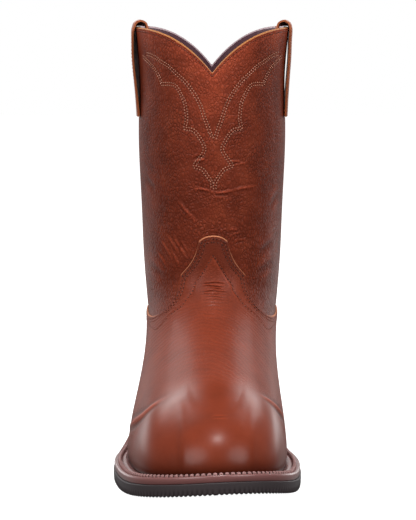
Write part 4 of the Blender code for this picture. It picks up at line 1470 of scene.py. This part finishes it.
def make_heel():
    """Block under the heel seat, with a straight breast and a groove above its lowest lift."""
    side = np.linspace(0.0, 1.0, HEEL_COLUMNS)
    fine = np.linspace(90.0, 180.0, EDGE_SAMPLES)
    _, fine_y = plan_point(fine, reach(fine) + OUTSOLE_EXTRA)
    start = np.interp(BREAST_Y, fine_y, fine)
    half = np.concatenate([[0.0], start + (180.0 - start) * side])
    angles = np.concatenate([half, 360.0 - half[-2:0:-1]])[1:]
    seat = tread_z(0.0, BREAST_Y) - GAP
    rows = (
        (0.0, None),
        (HEEL_LIFT_TAPER, HEEL_LIFT + HEEL_GROOVE),
        (HEEL_LIFT_TAPER + HEEL_GROOVE, HEEL_LIFT),
        (HEEL_LIFT_TAPER, HEEL_LIFT - HEEL_GROOVE),
        (HEEL_TAPER, HEEL_BEVEL),
        (HEEL_TAPER + HEEL_BEVEL, 0.0),
    )
    rings = []
    for inset, height in rows:
        x, y = plan_point(angles, reach(angles) - inset)
        z = tread_z(x, y) - GAP if height is None else np.full_like(x, height)
        drop = 0.0 if height is None else 1.0 - height / seat
        y = np.maximum(y, BREAST_Y + HEEL_BREAST_RAKE * drop)
        ring = np.stack([x, y, z], axis=-1)
        breast = np.asarray([[(x[0] + x[-1]) / 2.0, (y[0] + y[-1]) / 2.0, (z[0] + z[-1]) / 2.0]])
        rings.append(np.concatenate([breast, ring]))
    capped_stack("heel", rings, RUBBER_FINISH, ("heel",))


# Studio: sizes and places in metres, powers in watts.
CAMERA_PLACE = (0.00063, -1.67475, 0.309)
CAMERA_PITCH = 6.15
CAMERA_LENS = 187.96
SENSOR = 36.0
FLOOR_SIZE = 8.0
FLOOR_COLOUR = (0.4, 0.4, 0.4, 1.0)
WHITE = (1.0, 1.0, 1.0, 1.0)
SOFTBOXES = (
    ("top softbox", (0.0, -0.5, 1.5), (0.0, -0.1, 0.06), 0.24, 0.14, 8.5),
    ("left key softbox", (-1.35, -1.3, 1.1), (0.0, 0.0, 0.12), 1.5, 1.5, 25.5),
    ("right key softbox", (1.35, -1.3, 1.1), (0.0, 0.0, 0.12), 1.5, 1.5, 25.0),
    ("left strip softbox", (-0.59, 1.11, 0.92), (0.0, -0.05, 0.08), 0.95, 0.48, 6.0),
    ("right strip softbox", (0.61, 1.09, 0.92), (0.0, -0.05, 0.08), 0.95, 0.48, 5.3),
    ("left low panel", (-0.3, 0.4, 0.05), (-0.05, -0.1, 0.05), 0.28, 0.1, 0.075),
    ("right low panel", (0.3, 0.4, 0.05), (0.05, -0.1, 0.05), 0.28, 0.1, 0.1),
)

# Light from the surroundings: that of the wall behind the boot, of the front, and of the floor as a share of
# both, with the parts of a direction between which the wall starts backwards and ends upwards and the floor
# ends.
WALL_LIGHT = 0.95
FRONT_LIGHT = 0.2
FLOOR_LIGHT = 0.25
WALL_START = (0.15, 0.9)
WALL_END = (0.05, 0.4)
FLOOR_END = (-0.1, 0.1)


def lamp_turn(aim):
    """Turn of a lamp that points along a direction."""
    return (np.arctan2(np.hypot(aim[0], aim[1]), -aim[2]), 0.0, np.arctan2(-aim[0], aim[1]))


def make_studio():
    """Camera, white floor, softboxes, low panels, and dim surroundings with a white wall behind the boot."""
    scene = bpy.context.scene
    lens = bpy.data.cameras.new("camera")
    lens.lens = CAMERA_LENS
    lens.sensor_width = SENSOR
    lens.dof.use_dof = False
    camera = add_object("camera", lens)
    camera.location = CAMERA_PLACE
    camera.rotation_euler = (np.radians(90.0 - CAMERA_PITCH), 0.0, 0.0)
    scene.camera = camera
    scene.view_settings.view_transform = "Standard"

    floor_mesh = bpy.data.meshes.new("floor")
    half = FLOOR_SIZE / 2.0
    corners = [(-half, -half, 0.0), (half, -half, 0.0), (half, half, 0.0), (-half, half, 0.0)]
    floor_mesh.from_pydata(corners, [], [(0, 1, 2, 3)])
    white = bpy.data.materials.new("white studio floor")
    white.use_nodes = True
    feed(white.node_tree, white.node_tree.nodes["Principled BSDF"], {
        "Base Color": FLOOR_COLOUR,
        "Roughness": 1.0,
        "Emission Color": WHITE,
        "Emission Strength": 1.0,
    })
    floor_mesh.materials.append(white)
    floor = add_object("floor", floor_mesh)
    floor.visible_diffuse = False
    floor.visible_glossy = False

    world = bpy.data.worlds.new("white surroundings")
    world.use_nodes = True
    tree = world.node_tree
    direction = put(tree, "ShaderNodeTexCoord", {}).outputs["Generated"]
    parts = put(tree, "ShaderNodeSeparateXYZ", {"Vector": direction}).outputs
    facing = remap(tree, parts["Y"], *WALL_START, 0.0, WALL_LIGHT)
    over = remap(tree, parts["Z"], *WALL_END, 1.0, 0.0)
    wall = maths(tree, "MULTIPLY_ADD", facing, over, FRONT_LIGHT)
    under = remap(tree, parts["Z"], *FLOOR_END, FLOOR_LIGHT, 1.0)
    dimmed = maths(tree, "MULTIPLY", wall, under)
    seen = put(tree, "ShaderNodeLightPath", {}).outputs["Is Camera Ray"]
    strength = put(tree, "ShaderNodeMix", {0: seen, 2: dimmed, 3: 1.0}).outputs[0]
    feed(tree, tree.nodes["Background"], {"Strength": strength, "Color": WHITE})
    scene.world = world

    for name, place, target, width, height, power in SOFTBOXES:
        light = bpy.data.lights.new(name, "AREA")
        light.shape = "ELLIPSE"
        light.size = width
        light.size_y = height
        light.energy = power
        lamp = add_object(name, light)
        lamp.location = place
        lamp.rotation_euler = lamp_turn(np.asarray(target) - np.asarray(place))


def main():
    """Make every piece of the boot and the studio round it."""
    front = np.linspace(-SEAM_ANGLE, SEAM_ANGLE, SHAFT_COLUMNS)
    back = np.linspace(SEAM_ANGLE + SEAM_SPLIT, 360.0 - SEAM_ANGLE - SEAM_SPLIT, BACK_COLUMNS)
    make_shaft_panel("shaft_front", front, SHAFT_ROWS, FRONT_FOLDS, False)
    make_shaft_panel("shaft_back", back, BACK_ROWS, BACK_FOLDS, True)
    make_lining()
    make_vamp()
    make_counter()
    make_side_seam("side_seam_inner", SEAM_ANGLE)
    make_side_seam("side_seam_outer", 360.0 - SEAM_ANGLE)
    for strap in STRAPS:
        make_strap(*strap)
    make_insole()
    make_welt()
    make_outsole()
    make_heel()
    make_studio()


main()
